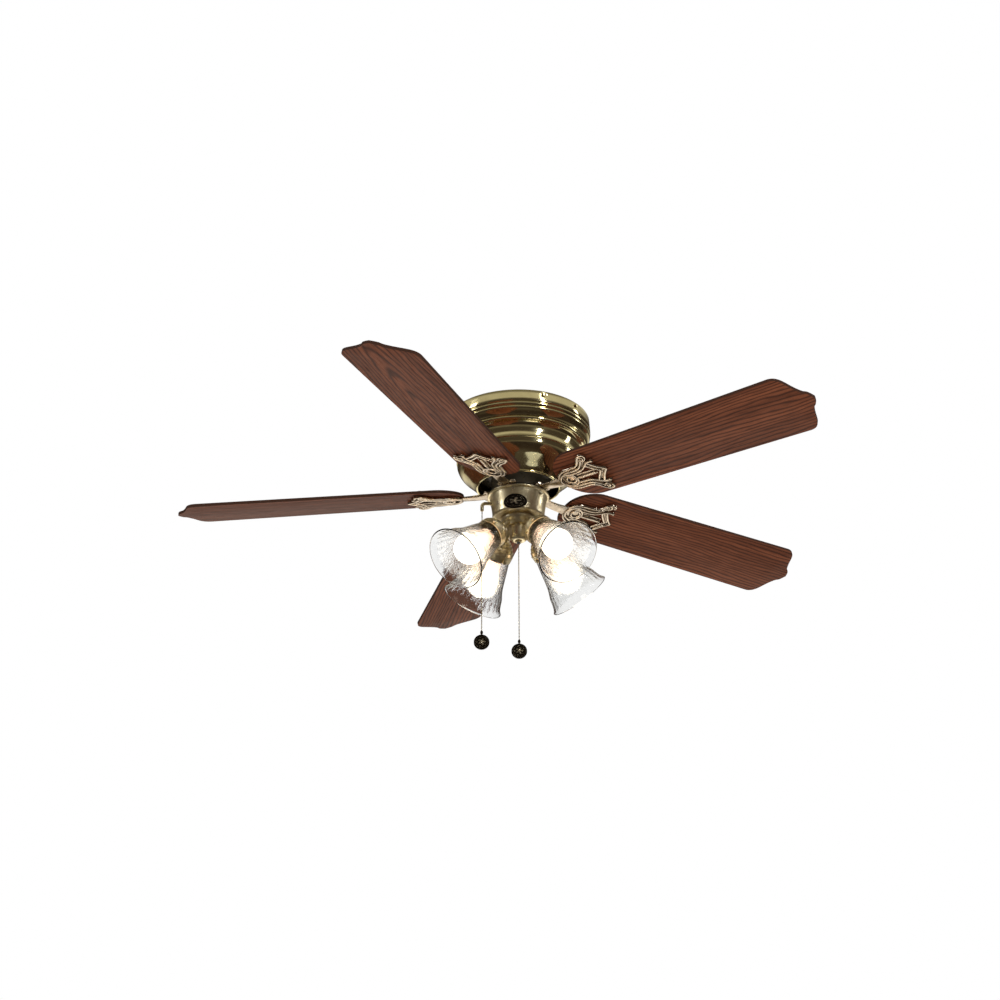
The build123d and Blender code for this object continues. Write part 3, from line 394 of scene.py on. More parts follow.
def clear_glass(name):
    """Clear glass, smooth at the rim and marbled towards the neck."""
    shader = Shader(name)
    split = shader.tree.nodes.new("ShaderNodeSeparateXYZ")
    shader.put(split.inputs[0], shader.place())
    marbled = shader.span(split.outputs["Z"], 0.004, 0.034, 0.05, 1.0)
    ripple = shader.noise(shader.place((1, 1, 0.6)), 120, 3, 0.55, 2.2)
    crackle = shader.node("TexVoronoi", {"Vector": shader.place((1, 1, 0.7)), "Scale": 210.0},
                          feature="SMOOTH_F1")
    height = shader.math("ADD", ripple, shader.math("MULTIPLY", crackle, 0.4))
    shader.bump(shader.math("MULTIPLY", height, marbled), 0.5, 0.0018)
    tint = shader.blend(shader.span(ripple, 0.35, 0.65), (0.90, 0.905, 0.90),
                        (0.955, 0.955, 0.945))
    return shader.set(Base_Color=tint, Roughness=0.02, IOR=1.47, Transmission_Weight=1.0)


def lit_bulb(name):
    """Frosted envelope, glowing white at its crown and warm towards its neck."""
    shader = Shader(name)
    split = shader.tree.nodes.new("ShaderNodeSeparateXYZ")
    shader.put(split.inputs[0], shader.place())
    neck = shader.span(split.outputs["Z"], 0.038, 0.088)
    frost = shader.noise(shader.place(), 1400, 2)
    shader.bump(frost, 0.1, 0.0002)
    return shader.set(Base_Color=(0.95, 0.93, 0.88), Roughness=0.45,
                      Emission_Color=shader.blend(neck, (1.0, 0.90, 0.72), (0.80, 0.50, 0.30)),
                      Emission_Strength=2.4)


def laminations(name):
    """Stacked electrical steel, with fine level lines."""
    shader = Shader(name)
    split = shader.tree.nodes.new("ShaderNodeSeparateXYZ")
    shader.put(split.inputs[0], shader.place())
    lines = shader.span(shader.math("SINE", shader.math("MULTIPLY", split.outputs["Z"], 12500.0)),
                        -1, 1)
    clouds = shader.noise(shader.place(), 70, 4)
    shader.bump(lines, 0.25, 0.0003)
    return shader.set(Base_Color=shader.blend(clouds, (0.22, 0.22, 0.23), (0.12, 0.11, 0.11)),
                      Metallic=1.0, Roughness=shader.span(lines, 0, 1, 0.3, 0.5))


def copper_wire(name):
    """Enamelled copper turns, wound as close fine ridges."""
    shader = Shader(name)
    split = shader.tree.nodes.new("ShaderNodeSeparateXYZ")
    shader.put(split.inputs[0], shader.place())
    reach = shader.math("SQRT", shader.math(
        "ADD", shader.math("MULTIPLY", split.outputs["X"], split.outputs["X"]),
        shader.math("MULTIPLY", split.outputs["Y"], split.outputs["Y"])))
    turns = shader.span(shader.math("SINE", shader.math("MULTIPLY", reach, 9000.0)), -1, 1)
    shader.bump(turns, 0.6, 0.0004)
    return shader.set(Base_Color=shader.blend(turns, (0.30, 0.10, 0.035), (0.62, 0.25, 0.09)),
                      Metallic=0.85, Roughness=0.28)


POLISHED = metal("polished_brass", (0.82, 0.73, 0.42), (0.72, 0.63, 0.35), 0.11, bump=0.015)
LAMP_BRASS = metal("satin_brass", (0.98, 0.87, 0.60), (0.66, 0.55, 0.32), 0.33, 90, bump=0.05)
# Cast brass of the irons: its near-black second colour is painted shade in the hollows.
CAST = shade_darkened_brass("cast_brass", (1.0, 0.86, 0.68), (0.075, 0.045, 0.024), 0.13)
ZINC = metal("zinc_steel", (0.62, 0.62, 0.63), (0.48, 0.49, 0.51), 0.34, 60)
BEARING = metal("bearing_steel", (0.70, 0.70, 0.71), (0.62, 0.62, 0.64), 0.16, 30)
# Rotor covers under the motor housing, coloured dark olive-brown.
DARK_ROTOR_COVERS = satin("cast_aluminium", (0.038, 0.030, 0.018), (0.060, 0.048, 0.029), 0.30, 120, 0.3)
LAMINATED = laminations("laminated_iron")
COPPER = copper_wire("enamelled_wire")
FIBRE = satin("red_fibre", (0.30, 0.07, 0.045), (0.20, 0.045, 0.03), 0.7, 200, 0.3)
BRONZE = relief_bronze("antique_bronze", (0.74, 0.66, 0.48), (0.020, 0.015, 0.010), 0.26)
PLASTIC = satin("black_plastic", (0.018, 0.018, 0.019), (0.034, 0.034, 0.035), 0.42)
GLASS = clear_glass("clear_glass")
BULB = lit_bulb("frosted_bulb")
CHAIN = metal("ball_chain", (0.72, 0.63, 0.42), (0.5, 0.42, 0.27), 0.22, 300)
GRAIN_SHIFTS = [(0.31, 0.12, 0), (1.7, 0.8, 0), (2.9, 3.1, 0), (4.4, 1.3, 0), (6.1, 2.2, 0)]
HEARTS = [(0.012, 0.34), (0.115, 0.30), (-0.14, 0.42), (0.06, 0.52), (-0.09, 0.25)]
BLADE_WOODS = [wood(f"walnut_blade_{k + 1}", BLADE_AZIMUTHS[k], GRAIN_SHIFTS[k], HEARTS[k])
               for k in range(5)]

NODE_MATERIALS = {
    ZINC: ["mounting_plate", "hanger_bracket", "bracket_screws", "motor_shaft", "shaft_nuts",
           "rotor_screws", "switch_plate", "fitter_nipple", "iron_screws"],
    BEARING: ["bearing_inner_races", "bearing_outer_races", "bearing_balls"],
    DARK_ROTOR_COVERS: ["rotor_cover_upper", "rotor_cover_lower"],
    LAMINATED: ["stator_core", "rotor_ring"],
    COPPER: ["stator_windings"],
    FIBRE: ["blade_washers"],
    PLASTIC: ["capacitor", "speed_switch", "reverse_switch", "reverse_slider", "lamp_sockets",
              "light_switch"],
    POLISHED: ["canopy", "canopy_screws", "motor_housing", "blade_screws"],
    LAMP_BRASS: ["switch_housing", "switch_housing_screws", "speed_chain_bushing", "fitter_body",
                 "lamp_arms", "shade_holder_1", "shade_holder_2", "shade_holder_3",
                 "shade_holder_4", "thumbscrews", "bottom_cap", "cap_nut"],
}
for material, names in NODE_MATERIALS.items():
    for node_name in names:
        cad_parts[node_name].data.materials.clear()
        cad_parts[node_name].data.materials.append(material)
for k, material in enumerate(BLADE_WOODS):
    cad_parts[f"blade_{k + 1}"].data.materials.clear()
    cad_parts[f"blade_{k + 1}"].data.materials.append(material)


# ---- Softened edges on the CAD parts that show ----
def smooth_by_angle():
    """Node group that shades smooth and breaks the shading at sharp edges."""
    group = bpy.data.node_groups.new("smooth_by_angle", "GeometryNodeTree")
    group.interface.new_socket("Geometry", in_out="INPUT", socket_type="NodeSocketGeometry")
    group.interface.new_socket("Geometry", in_out="OUTPUT", socket_type="NodeSocketGeometry")
    start = group.nodes.new("NodeGroupInput")
    finish = group.nodes.new("NodeGroupOutput")
    faces = group.nodes.new("GeometryNodeSetShadeSmooth")
    edges = group.nodes.new("GeometryNodeSetShadeSmooth")
    edges.domain = "EDGE"
    angle = group.nodes.new("GeometryNodeInputMeshEdgeAngle")
    flat_enough = group.nodes.new("ShaderNodeMath")
    flat_enough.operation = "LESS_THAN"
    flat_enough.inputs[1].default_value = radians(32)
    group.links.new(start.outputs[0], faces.inputs["Geometry"])
    group.links.new(faces.outputs[0], edges.inputs["Geometry"])
    group.links.new(angle.outputs["Unsigned Angle"], flat_enough.inputs[0])
    group.links.new(flat_enough.outputs[0], edges.inputs["Shade Smooth"])
    group.links.new(edges.outputs[0], finish.inputs[0])
    return group


SOFT_EDGES = {"canopy": 0.35, "canopy_screws": 0.4, "motor_housing": 0.35, "switch_housing": 0.35,
              "switch_housing_screws": 0.3, "fitter_body": 0.35, "bottom_cap": 0.4, "cap_nut": 0.3,
              "mounting_plate": 0.4, "blade_screws": 0.4, "iron_screws": 0.4, "thumbscrews": 0.5,
              "speed_chain_bushing": 0.3, "rotor_cover_upper": 0.6, "rotor_cover_lower": 0.6,
              "reverse_slider": 0.3, "blade_1": 0.9, "blade_2": 0.9, "blade_3": 0.9,
              "blade_4": 0.9, "blade_5": 0.9}
ANGLE_GROUP = smooth_by_angle()
for node_name, width in SOFT_EDGES.items():
    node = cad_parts[node_name]
    if "custom_normal" in node.data.attributes:
        node.data.attributes.remove(node.data.attributes["custom_normal"])
    weld = node.modifiers.new("weld", "WELD")
    weld.merge_threshold = 0.000002
    bevel = node.modifiers.new("bevel", "BEVEL")
    bevel.width = width * MM
    bevel.segments = 2
    bevel.angle_limit = radians(38)
    bevel.use_clamp_overlap = True
    shading = node.modifiers.new("shading", "NODES")
    shading.node_group = ANGLE_GROUP


# ---- Glass shades, bulbs ----
def flute(turn, z):
    """Depth of the shade's flutes: none at the rim, deepest above it, none at the neck."""
    rise = min(max((z - 3) / 9, 0), 1)
    fade = 1 - min(max((z - 22) / 40, 0), 1)
    return -0.30 * rise * fade * (1 - cos(FLUTE_COUNT * turn))


def shade_profile():
    """Closed outline of a shade's wall, with a rolled rim."""
    half = SHADE_WALL / 2
    outside = [p for p in curve_through(SHADE_OUTSIDE, 7) if p[1] > half]
    rim_centre = (SHADE_OUTSIDE[0][0] - half - 0.55, half)
    rim = [(rim_centre[0] + half * 1.1 * cos(turn), half + half * sin(turn))
           for turn in [radians(-10 - 20 * k) for k in range(9)]]
    inside = [(r - SHADE_WALL, z) for r, z in reversed(outside)]
    return [(r, z) for r, z in inside] + list(reversed(rim)) + [(r, z) for r, z in outside]


SHADE_MESH = make_mesh("glass_bell", *lathe(shade_profile(), 192, True, flute))
smooth(SHADE_MESH, 60)
SHADE_MESH.materials.append(GLASS)

ENVELOPE = curve_through([(13.1, 97), (15.8, 84), (21.3, 70), (26.8, 56), (29.1, 42),
                          (26.6, 30.4), (19.8, 21.7), (10, 15.8), (0, 14.2)], 5)
ENVELOPE_MESH = make_mesh("bulb_glass", *lathe([tuple(p) for p in ENVELOPE], 48, False))
smooth(ENVELOPE_MESH, 60)
ENVELOPE_MESH.materials.append(BULB)


def thread(turn, z):
    """Rolled thread of the bulb's screw shell."""
    return 0.45 * (cos(2 * pi * z / 3.6 - turn) - 1)


BASE_PROFILE = [(13.2, 97 + 0.45 * k) for k in range(43)] + [(12.4, 117.2), (6, 120.4),
                                                               (2.5, 120.9), (0, 120.9)]
BASE_MESH = make_mesh("bulb_base", *lathe(BASE_PROFILE, 40, False, thread))
smooth(BASE_MESH, 50)
BASE_MESH.materials.append(CHAIN)

for number, azimuth in enumerate(LAMP_AZIMUTHS, start=1):
    shade = make_object(f"shade_bell_{number}", SHADE_MESH, lamp_place(azimuth))
    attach(shade, "fixture")
    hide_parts(f"glass_shade_{number}")
    envelope = make_object(f"bulb_envelope_{number}", ENVELOPE_MESH, lamp_place(azimuth))
    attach(envelope, "fixture")
    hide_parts("light_bulbs")
    base = make_object(f"bulb_screw_shell_{number}", BASE_MESH, lamp_place(azimuth))
    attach(base, "fixture")


# ---- Blade irons: foot, twisted stem and the cast trident, fused and rounded ----
ALONG, ACROSS, NORMAL = blade_axes()
BLADE_ORIGIN = Vector((0, 0, BLADE_PLANE_Z))


def palm_point(r, w, depth):
    """Point under the blade at azimuth 0, a depth below its underside."""
    return BLADE_ORIGIN + ALONG * r + ACROSS * w - NORMAL * depth


def palm_bar(route, thickness, depth):
    """Round ridge under the blade through (r, w) points, with a radius at each."""
    line = curve_through([Vector((r, w, size)) for (r, w), size in zip(route, thickness)], 5)
    path = [palm_point(p[0], p[1], depth) for p in line]
    return tube(path, [1.18 * p[2] for p in line], 10)


def palm_plate(outline, top, bottom):
    """Flat plate under the blade from a closed (r, w) outline."""
    count = len(outline)
    points = [palm_point(r, w, top) for r, w in outline]
    points += [palm_point(r, w, bottom) for r, w in outline]
    faces = [list(range(count)), list(range(2 * count - 1, count - 1, -1))]
    faces += [(k, (k + 1) % count, count + (k + 1) % count, count + k) for k in range(count)]
    return points, faces


def palm_ring(r, w, radius, size, depth):
    """Round ring under the blade."""
    turns = [2 * pi * k / 28 for k in range(29)]
    path = [palm_point(r + radius * cos(t), w + radius * sin(t), depth) for t in turns]
    return tube(path, [size] * 29, 10)


def palm_ball(r, w, radius, depth):
    """Round knob under the blade."""
    return ball(palm_point(r, w, depth), radius)


def band(route, half_width):
    """Closed outline of an even band along an (r, w) route."""
    line = curve_through(route, 5)
    left = []
    right = []
    for i, point in enumerate(line):
        ahead = (line[min(i + 1, len(line) - 1)] - line[max(i - 1, 0)]).normalized()
        side = Vector((-ahead[1], ahead[0])) * half_width
        left.append(tuple(point + side))
        right.append(tuple(point - side))
    return left + right[::-1]


def stem():
    """Domed bar with three ridges, turning from level at the motor to the blade's pitch."""
    parts = []
    start = Vector((0, -52, ROTOR_FOOT_Z - 2.4))
    finish = palm_point(112, 0, 2.6)
    steps = 16
    points = []
    sides = 20
    lines = {offset: [] for offset in (-6.4, 0, 6.4)}
    for i in range(steps + 1):
        t = i / steps
        ease = t * t * (3 - 2 * t)
        centre = start.lerp(finish, t) + Vector((0, 0, -1.5 * sin(pi * t)))
        across = sideways(0).lerp(ACROSS, ease).normalized()
        up = across.cross(Vector((0, 1, 0))).normalized() * -1
        width = 12.6 - 1.6 * sin(pi * t)
        for k in range(sides):
            turn = 2 * pi * k / sides
            rise = 2.3 if sin(turn) > 0 else 3.1
            points.append(centre + across * width * cos(turn) * (1 + 0.16 * sin(2 * turn) ** 2)
                          + up * rise * sin(turn))
        for offset, line in lines.items():
            line.append(centre + across * offset - up * (3.1 - 0.012 * offset * offset))
    faces = [(i * sides + k, i * sides + (k + 1) % sides, (i + 1) * sides + (k + 1) % sides,
              (i + 1) * sides + k) for i in range(steps) for k in range(sides)]
    faces += [list(range(sides)), [steps * sides + k for k in range(sides)]]
    parts.append((points, faces))
    parts += [tube(line, [2.2 if offset == 0 else 1.9] * len(line), 10)
              for offset, line in lines.items()]
    return parts


def foot():
    """Level foot under the motor, with a flared collar that starts the stem."""
    half = [(-26, 12), (-28, 14), (-52, 14), (-55, 18), (-63, 18), (-66, 13)]
    outline = [(x, y) for y, x in half] + [(-x, y) for y, x in reversed(half)]
    count = len(outline)
    points = [(x, y, ROTOR_FOOT_Z - 0.1) for x, y in outline]
    points += [(x, y, ROTOR_FOOT_Z - 4.5) for x, y in outline]
    faces = [list(range(count)), list(range(2 * count - 1, count - 1, -1))]
    faces += [(k, (k + 1) % count, count + (k + 1) % count, count + k) for k in range(count)]
    collar = [Vector((x, -59, ROTOR_FOOT_Z - 3.2 - 0.8 * cos(x / 12))) for x in range(-17, 18, 2)]
    return [([Vector(p) for p in points], faces), tube(collar, [2.2] * len(collar), 10)]


def trident():
    """Eye, two curling three-ridged arms, middle bar and pointed bracket."""
    parts = [palm_plate([(127 + 19.4 * cos(radians(a)), 19.4 * sin(radians(a)))
                         for a in range(0, 360, 12)], 0.2, 3.2),
             palm_plate([(140, -6.6), (189, -6.6), (189, 6.6), (140, 6.6)], 0.2, 3.4),
             palm_ring(127, 0, 17.2, 2.7, 4.1), palm_ring(131.5, 0, 9.0, 2.3, 4.3),
             palm_bar([(143, 0), (158, 0), (174, 0), (188, 0)], [2.0, 2.9, 2.4, 2.8], 4.0),
             palm_ball(160, 0, 4.6, 3.4), palm_ball(211, 0, 3.2, 3.2)]
    for side in (1, -1):
        arm = [(116, 13 * side), (128, 20 * side), (146, 20.5 * side), (160, 21 * side),
               (172, 27 * side), (181, 37 * side), (187, 46 * side)]
        parts += [palm_plate(band(arm, 8.4), 0.2, 3.2),
                  palm_bar([(108, 10 * side), (116, 20 * side), (130, 27 * side),
                            (148, 28 * side), (162, 30 * side), (172, 38 * side),
                            (178, 47 * side), (187, 53 * side), (195, 50 * side),
                            (195, 43 * side)], [1.6, 2.3, 2.5, 2.3, 2.5, 2.6, 2.6, 2.4, 2.0, 1.5],
                           4.1),
                  palm_bar([(116, 14 * side), (130, 20.5 * side), (150, 20.8 * side),
                            (163, 23 * side), (174, 31 * side), (182, 41 * side)],
                           [1.6, 2.2, 2.6, 2.4, 2.3, 1.9], 4.4),
                  palm_bar([(124, 12 * side), (138, 13.2 * side), (154, 13.6 * side),
                            (167, 16 * side), (178, 23 * side), (188, 30 * side),
                            (199, 31 * side)], [1.5, 2.2, 2.4, 2.2, 2.2, 2.4, 2.2], 4.1),
                  palm_ring(184, 43.5 * side, 5.2, 1.9, 4.3),
                  palm_ball(184, 43.5 * side, 2.6, 4.4),
                  palm_ball(200, 31 * side, 4.2, 3.0), palm_ball(195, 46 * side, 3.4, 3.4),
                  palm_plate(band([(180, 29 * side), (188, 20 * side), (197, 11 * side),
                                   (211, 0)], 4.6), 0.2, 3.0),
                  palm_bar([(186, 32 * side), (194, 20 * side), (202, 10 * side), (213, 0)],
                           [2.0, 2.4, 2.3, 2.0], 3.8),
                  palm_bar([(178, 26 * side), (185, 16 * side), (193, 7 * side), (200, 0)],
                           [1.6, 2.0, 2.0, 1.8], 3.8)]
    return parts


def fused(name, parts, voxel, rounds):
    """One rounded skin over overlapping solids."""
    rough = make_object(name + "_rough", make_mesh(name + "_rough", *joined(parts)))
    remesh = rough.modifiers.new("remesh", "REMESH")
    remesh.mode = "VOXEL"
    remesh.voxel_size = voxel * MM
    soften = rough.modifiers.new("soften", "SMOOTH")
    soften.factor = 0.5
    soften.iterations = rounds
    graph = bpy.context.evaluated_depsgraph_get()
    mesh = bpy.data.meshes.new_from_object(rough.evaluated_get(graph))
    mesh.name = name
    bpy.data.objects.remove(rough)
    mesh.polygons.foreach_set("use_smooth", [True] * len(mesh.polygons))
    return mesh


IRON_MESH = fused("iron_casting", foot() + stem() + trident(), 0.62, 3)
IRON_MESH.materials.clear()
IRON_MESH.materials.append(CAST)
for number, azimuth in enumerate(BLADE_AZIMUTHS, start=1):
    iron = make_object(f"iron_casting_{number}", IRON_MESH,
                       Matrix.Rotation(radians(azimuth), 4, "Z"))
    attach(iron, "rotor")
    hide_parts(f"blade_iron_{number}")


# ---- Medallion and fobs: dished discs with a beaded rim and a five-petal rosette ----
def rosette(spread, turn):
    """Height of the relief from 0 to 1 at a share of the radius and an angle."""
    rim = exp(-((spread - 0.9) / 0.055) ** 2)
    beads = 0.75 * exp(-((spread - 0.76) / 0.04) ** 2) * (0.5 + 0.5 * cos(30 * turn))
    petal_reach = 0.36 + 0.24 * abs(cos(2.5 * turn))
    petals = 0.9 * max(0.0, 1 - (spread / petal_reach) ** 4) * (0.35 + 0.65 * abs(cos(2.5 * turn)))
    leaves = 0.55 * exp(-((spread - 0.6) / 0.07) ** 2) * max(0.0, -cos(5 * turn)) ** 0.6
    button = 0.5 * exp(-(spread / 0.13) ** 2)
    return min(1.2, rim + beads + petals * (0.6 + 0.4 * spread) + leaves + button)


def relief_face(half_width, half_height, lowest, relief, rings=26, spokes=120):
    """(u, v, height) points in rings from the edge to the middle of an oval relief."""
    rows = []
    for i in range(rings):
        spread = 1 - i / rings
        rows.append([(half_width * spread * cos(2 * pi * k / spokes),
                      half_height * spread * sin(2 * pi * k / spokes),
                      lowest + relief * rosette(spread, 2 * pi * k / spokes))
                     for k in range(spokes)])
    rows.append([(0, 0, lowest + relief * rosette(0, 0))])
    return rows


def relief_solid(front, back, surface):
    """Closed solid between two stacks of relief rings, mapped by a surface function."""
    spokes = len(front[0])
    rows = [*reversed(front), *back]
    points = []
    starts = []
    for row in rows:
        starts.append(len(points))
        points.extend(surface(*p) for p in row)
    faces = []
    for a, b, row_a, row_b in zip(starts, starts[1:], rows, rows[1:]):
        for k in range(spokes):
            n = (k + 1) % spokes
            corners = [a + (k if len(row_a) > 1 else 0), a + (n if len(row_a) > 1 else 0),
                       b + (n if len(row_b) > 1 else 0), b + (k if len(row_b) > 1 else 0)]
            face = [c for i, c in enumerate(corners) if c not in corners[:i]]
            faces.append(face)
    return points, faces


def housing_radius(z):
    """Outer radius of the medallion's seat on the switch housing."""
    stops = [(-207, 50.3), (-196, 50.3), (-188, 51.3), (-176.5, 53.3)]
    for (low, r_low), (high, r_high) in zip(stops, stops[1:]):
        if z <= high:
            return r_low + (r_high - r_low) * (z - low) / (high - low)
    return stops[-1][1]


def medallion_surface(u, v, height):
    """Point on the switch housing's front, u along it and v above the medallion's middle."""
    z = MEDALLION_Z + v
    reach = housing_radius(z) + height
    turn = u / housing_radius(z)
    return Vector((sin(turn) * reach, -cos(turn) * reach, z))


RIM_START = 0.83                  # share of the radius where the dark rim starts
RIM_SHARE = 0.3                   # share of its relief that the rim keeps in the colours


def store_relief(mesh, heights):
    """Keep each point's relief, from 0 to 1, on the mesh for its material."""
    stored = mesh.attributes.new("relief", "FLOAT", "POINT")
    stored.data.foreach_set("value", heights)


def relief_heights(rows, lowest, relief):
    """Relief from 0 to 1 of each point in relief rings listed from the middle, dark at the rim."""
    last = len(rows) - 1
    return [(height - lowest) / relief * (RIM_SHARE if order > RIM_START * last else 1.0)
            for order, row in enumerate(rows) for _, _, height in row]


PLATE_LOWEST = 0.9
PLATE_RELIEF = 1.3
PLATE_FRONT = relief_face(MEDALLION_HALF_WIDTH, MEDALLION_HALF_HEIGHT, PLATE_LOWEST, PLATE_RELIEF)
PLATE_BACK = relief_face(MEDALLION_HALF_WIDTH, MEDALLION_HALF_HEIGHT, 0.1, 0)
MEDALLION_MESH = make_mesh("rosette_plate",
                           *relief_solid(PLATE_FRONT, PLATE_BACK, medallion_surface))
store_relief(MEDALLION_MESH, relief_heights(PLATE_FRONT[::-1], PLATE_LOWEST, PLATE_RELIEF)
             + [0.0] * len(relief_heights(PLATE_BACK, 0, 1)))
smooth(MEDALLION_MESH, 70)
MEDALLION_MESH.materials.append(BRONZE)
plate = make_object("rosette_plate", MEDALLION_MESH)
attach(plate, "fixture")
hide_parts("medallion")


def fob_surface(u, v, height):
    """Point on a fob: its faces look along local y."""
    return Vector((u, -height, v))


FOB_LOWEST = 1.6
FOB_RELIEF = 1.1
FOB_FRONT = relief_face(FOB_RADIUS, FOB_RADIUS, FOB_LOWEST, FOB_RELIEF, 22, 96)
FOB_BACK = [[(u, v, -height) for u, v, height in row] for row in FOB_FRONT]
COUPLING = [(0, 13.6), (2.0, 13.6), (1.7, 15), (2.0, 17.2), (2.6, 17.4), (2.7, 18.4),
            (2.5, 20.4), (1.9, 21.9), (1.3, 22.2), (0, 22.2)]
FOB_MESH = make_mesh("pull_fob", *joined([relief_solid(FOB_FRONT, FOB_BACK, fob_surface),
                                          lathe(COUPLING, 24, False)]))
COUPLING_RELIEF = 0.3
FACE_HEIGHTS = relief_heights(FOB_FRONT[::-1], FOB_LOWEST, FOB_RELIEF)
BACK_HEIGHTS = FACE_HEIGHTS[::-1]
store_relief(FOB_MESH, FACE_HEIGHTS + BACK_HEIGHTS + [COUPLING_RELIEF] * (
    len(FOB_MESH.vertices) - 2 * len(FACE_HEIGHTS)))
smooth(FOB_MESH, 60)
FOB_MESH.materials.append(BRONZE)


# ---- Bead chains ----
def chain_line(top, bottom):
    """Points of a straight hanging route, read from its NURBS spline."""
    curve = bpy.data.curves.new("route", "CURVE")
    curve.dimensions = "3D"
    spline = curve.splines.new("NURBS")
    controls = [top, top.lerp(bottom, 0.3), top.lerp(bottom, 0.7), bottom]
    spline.points.add(len(controls) - 1)
    for control, point in zip(controls, spline.points):
        point.co = (*control, 1)
    spline.order_u = 3
    spline.use_endpoint_u = True
    route = bpy.data.objects.new("route", curve)
    bpy.context.scene.collection.objects.link(route)
    mesh = bpy.data.meshes.new_from_object(route)
    line = [vertex.co.copy() for vertex in mesh.vertices]
    bpy.data.objects.remove(route)
    return line


def bead_chain(line):
    """Bead chain that follows a line given in metres: round beads on a thin wire."""
    length = (line[-1] - line[0]).length
    count = int(length / 0.0029)
    beads = []
    for k in range(count + 1):
        centre = line[0].lerp(line[-1], (k + 0.42) / (count + 0.84)) / MM
        beads.append(ball(centre, CHAIN_RADIUS))
    wire = tube([point / MM for point in line], [0.42] * len(line), 8)
    return joined([wire, *beads])


def pull(name, body, azimuth, radius, ends, fob_z):
    """One pull chain with its fob."""
    foot_point = outward(azimuth) * radius
    top, bottom = ((foot_point + Vector((0, 0, z))) * MM for z in ends)
    line = chain_line(top, bottom)
    chain_mesh = make_mesh(name + "_beads", *bead_chain(line))
    smooth(chain_mesh, 80)
    chain_mesh.materials.append(CHAIN)
    chain = make_object(name + "_beads", chain_mesh)
    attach(chain, body)
    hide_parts(name + "_chain")
    facing = placed(sideways(FOB_FACING), outward(FOB_FACING) * -1, Vector((0, 0, 1)),
                    foot_point + Vector((0, 0, fob_z)))
    fob = make_object(name + "_rosette_fob", FOB_MESH, facing)
    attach(fob, body)
    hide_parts(name + "_fob")


pull("speed", "speed_pull", SPEED_CHAIN_AZIMUTH, SPEED_CHAIN_RADIUS, SPEED_CHAIN_ENDS,
     SPEED_FOB_Z)
pull("light", "light_pull", 0, 0, LIGHT_CHAIN_ENDS, LIGHT_FOB_Z)


# ---- Studio: white surroundings, a darker room in the reflections, soft lights ----
GLOW_DIRECTION = outward(187) * cos(radians(26)) - Vector((0, 0, 0.44))


def studio_world():
    """White backdrop, and a dark banded room with a low glow for all that a mirror shows."""
    world = bpy.data.worlds.new("studio")
    bpy.context.scene.world = world
    world.use_nodes = True
    tree = world.node_tree
    tree.nodes.clear()
    out = tree.nodes.new("ShaderNodeOutputWorld")
    backdrop = tree.nodes.new("ShaderNodeBackground")
    backdrop.inputs["Color"].default_value = (1, 1, 1, 1)
    room = tree.nodes.new("ShaderNodeBackground")
    choose = tree.nodes.new("ShaderNodeMixShader")
    path = tree.nodes.new("ShaderNodeLightPath")
    coordinates = tree.nodes.new("ShaderNodeTexCoord")
    split = tree.nodes.new("ShaderNodeSeparateXYZ")
    height = tree.nodes.new("ShaderNodeMapRange")
    height.inputs["From Min"].default_value = -1
    height.inputs["From Max"].default_value = 1
    bands = tree.nodes.new("ShaderNodeValToRGB")
    stops = [(0.0, (0.08, 0.068, 0.055)), (0.16, (0.03, 0.02, 0.014)),
             (0.40, (0.022, 0.014, 0.01)), (0.50, (0.16, 0.14, 0.11)), (0.56, (0.05, 0.038, 0.028)),
             (0.735, (0.05, 0.037, 0.026)), (0.772, (0.52, 0.49, 0.41)),
             (0.815, (0.50, 0.47, 0.39)), (0.865, (0.15, 0.135, 0.105)),
             (1.0, (0.34, 0.33, 0.29))]
    while len(bands.color_ramp.elements) < len(stops):
        bands.color_ramp.elements.new(0.5)
    for element, (position, colour) in zip(bands.color_ramp.elements, stops):
        element.position = position
        element.color = (*colour, 1)
    unmirrored = tree.nodes.new("ShaderNodeMath")
    unmirrored.operation = "LESS_THAN"
    unmirrored.inputs[1].default_value = 0.5
    diffuse = tree.nodes.new("ShaderNodeMath")
    diffuse.operation = "MAXIMUM"
    tree.links.new(coordinates.outputs["Generated"], split.inputs[0])
    tree.links.new(split.outputs["Z"], height.inputs["Value"])
    tree.links.new(height.outputs[0], bands.inputs[0])
    window = tree.nodes.new("ShaderNodeVectorMath")
    window.operation = "DOT_PRODUCT"
    window.inputs[1].default_value = GLOW_DIRECTION
    glow = tree.nodes.new("ShaderNodeMapRange")
    glow.interpolation_type = "SMOOTHSTEP"
    glow.inputs["From Min"].default_value = 0.68
    glow.inputs["From Max"].default_value = 0.96
    lit = tree.nodes.new("ShaderNodeMix")
    lit.data_type = "RGBA"
    lit.inputs[7].default_value = (1.3, 1.22, 1.1, 1)
    tree.links.new(coordinates.outputs["Generated"], window.inputs[0])
    tree.links.new(window.outputs["Value"], glow.inputs["Value"])
    tree.links.new(glow.outputs[0], lit.inputs[0])
    tree.links.new(bands.outputs[0], lit.inputs[6])
    tree.links.new(lit.outputs[2], room.inputs["Color"])
    tree.links.new(path.outputs["Glossy Depth"], unmirrored.inputs[0])
    tree.links.new(unmirrored.outputs[0], diffuse.inputs[0])
    tree.links.new(path.outputs["Is Diffuse Ray"], diffuse.inputs[1])
    tree.links.new(diffuse.outputs[0], choose.inputs[0])
    tree.links.new(room.outputs[0], choose.inputs[1])
    tree.links.new(backdrop.outputs[0], choose.inputs[2])
    tree.links.new(choose.outputs[0], out.inputs["Surface"])


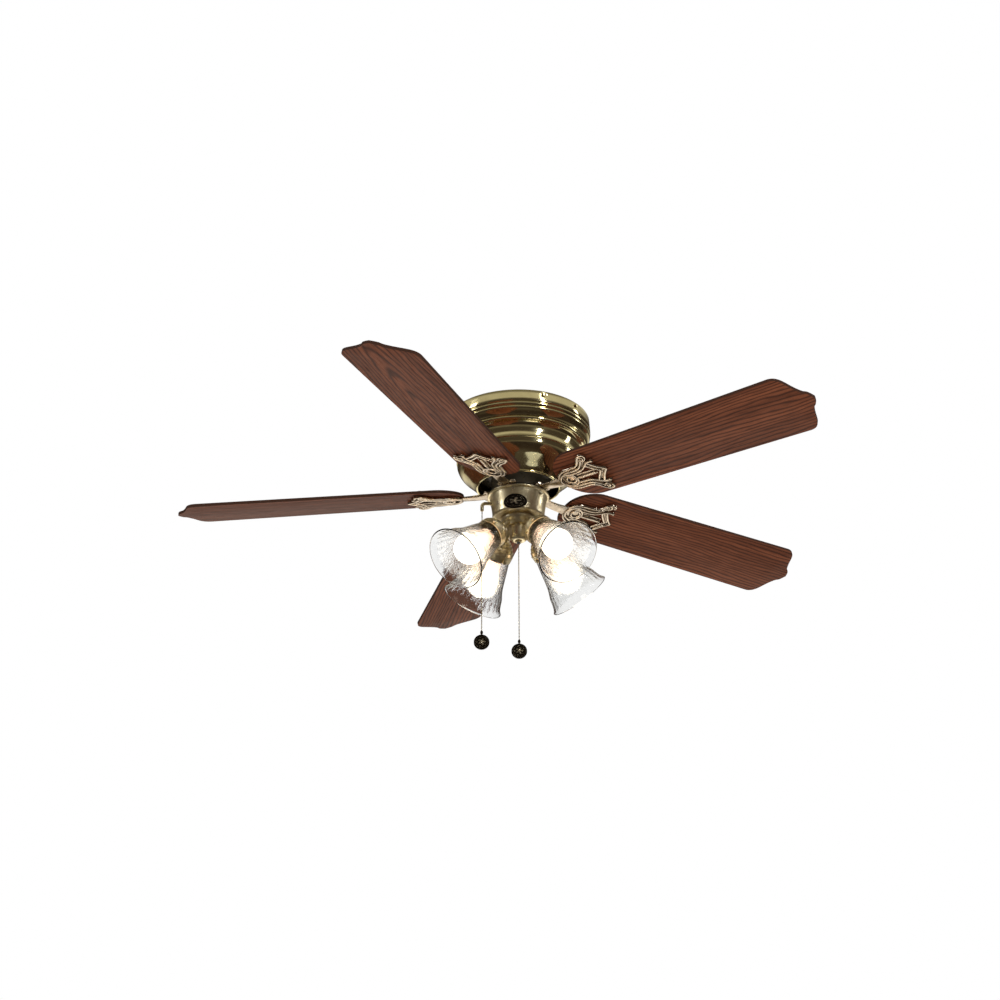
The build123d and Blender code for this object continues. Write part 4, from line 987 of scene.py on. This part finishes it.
def soft_light(name, azimuth, elevation, distance, width, height, power, mirrored=True):
    """Rectangular softbox that faces the fan, seen or not in its reflections."""
    lamp = bpy.data.lights.new(name, "AREA")
    lamp.shape = "RECTANGLE"
    lamp.size = width
    lamp.size_y = height
    lamp.energy = power
    holder = bpy.data.objects.new(name, lamp)
    bpy.context.scene.collection.objects.link(holder)
    rise = radians(elevation)
    spot = outward(azimuth) * cos(rise) + Vector((0, 0, sin(rise)))
    holder.location = spot * distance + Vector((0, 0, -0.2))
    holder.rotation_euler = spot.to_track_quat("Z", "Y").to_euler()
    holder.visible_glossy = mirrored


studio_world()
soft_light("strip_right", 46, 26, 2.6, 0.16, 1.3, 9)
soft_light("strip_left", -66, 22, 2.6, 0.5, 1.2, 8)
soft_light("rim_right", 110, 20, 2.6, 0.3, 1.2, 6)
soft_light("front_low", 5, -38, 3.4, 1.0, 0.7, 12, mirrored=False)
soft_light("flash", 46, 19, 2.8, 0.34, 0.34, 8)

floor_mesh = make_mesh("floor", *lathe([(5600, 0), (5600, -20), (0, -20), (0, 0)], 64, True))
floor = make_object("floor", floor_mesh, Matrix.Translation((0, 0, -4.4)))
floor_paint = Shader("pale_floor")
floor_mesh.materials.append(floor_paint.set(
    Base_Color=floor_paint.blend(floor_paint.noise(floor_paint.place(), 3, 3), (0.80, 0.80, 0.79),
                                 (0.84, 0.84, 0.83)), Roughness=0.8))
floor.visible_glossy = False


# ---- Camera, in front and below ----
def aim_camera(azimuth, elevation, distance, target, lens, shift, roll):
    """Camera on a sphere about a target, with a small roll."""
    data = bpy.data.cameras.new("camera")
    data.lens = lens
    data.sensor_width = 36
    data.shift_x, data.shift_y = shift
    camera = bpy.data.objects.new("camera", data)
    bpy.context.scene.collection.objects.link(camera)
    rise = radians(elevation)
    away = outward(azimuth) * cos(rise) + Vector((0, 0, sin(rise)))
    camera.location = target + away * distance
    turned = away.to_track_quat("Z", "Y").to_matrix().to_4x4()
    camera.matrix_world = (Matrix.Translation(camera.location) @ turned
                           @ Matrix.Rotation(radians(roll), 4, "Z"))
    bpy.context.scene.camera = camera


aim_camera(7.26, -25.65, 3.599, Vector((0, 0, -0.161)), 67.47, (-0.0184, -0.002), -0.32)
bpy.context.scene.view_settings.view_transform = "Standard"
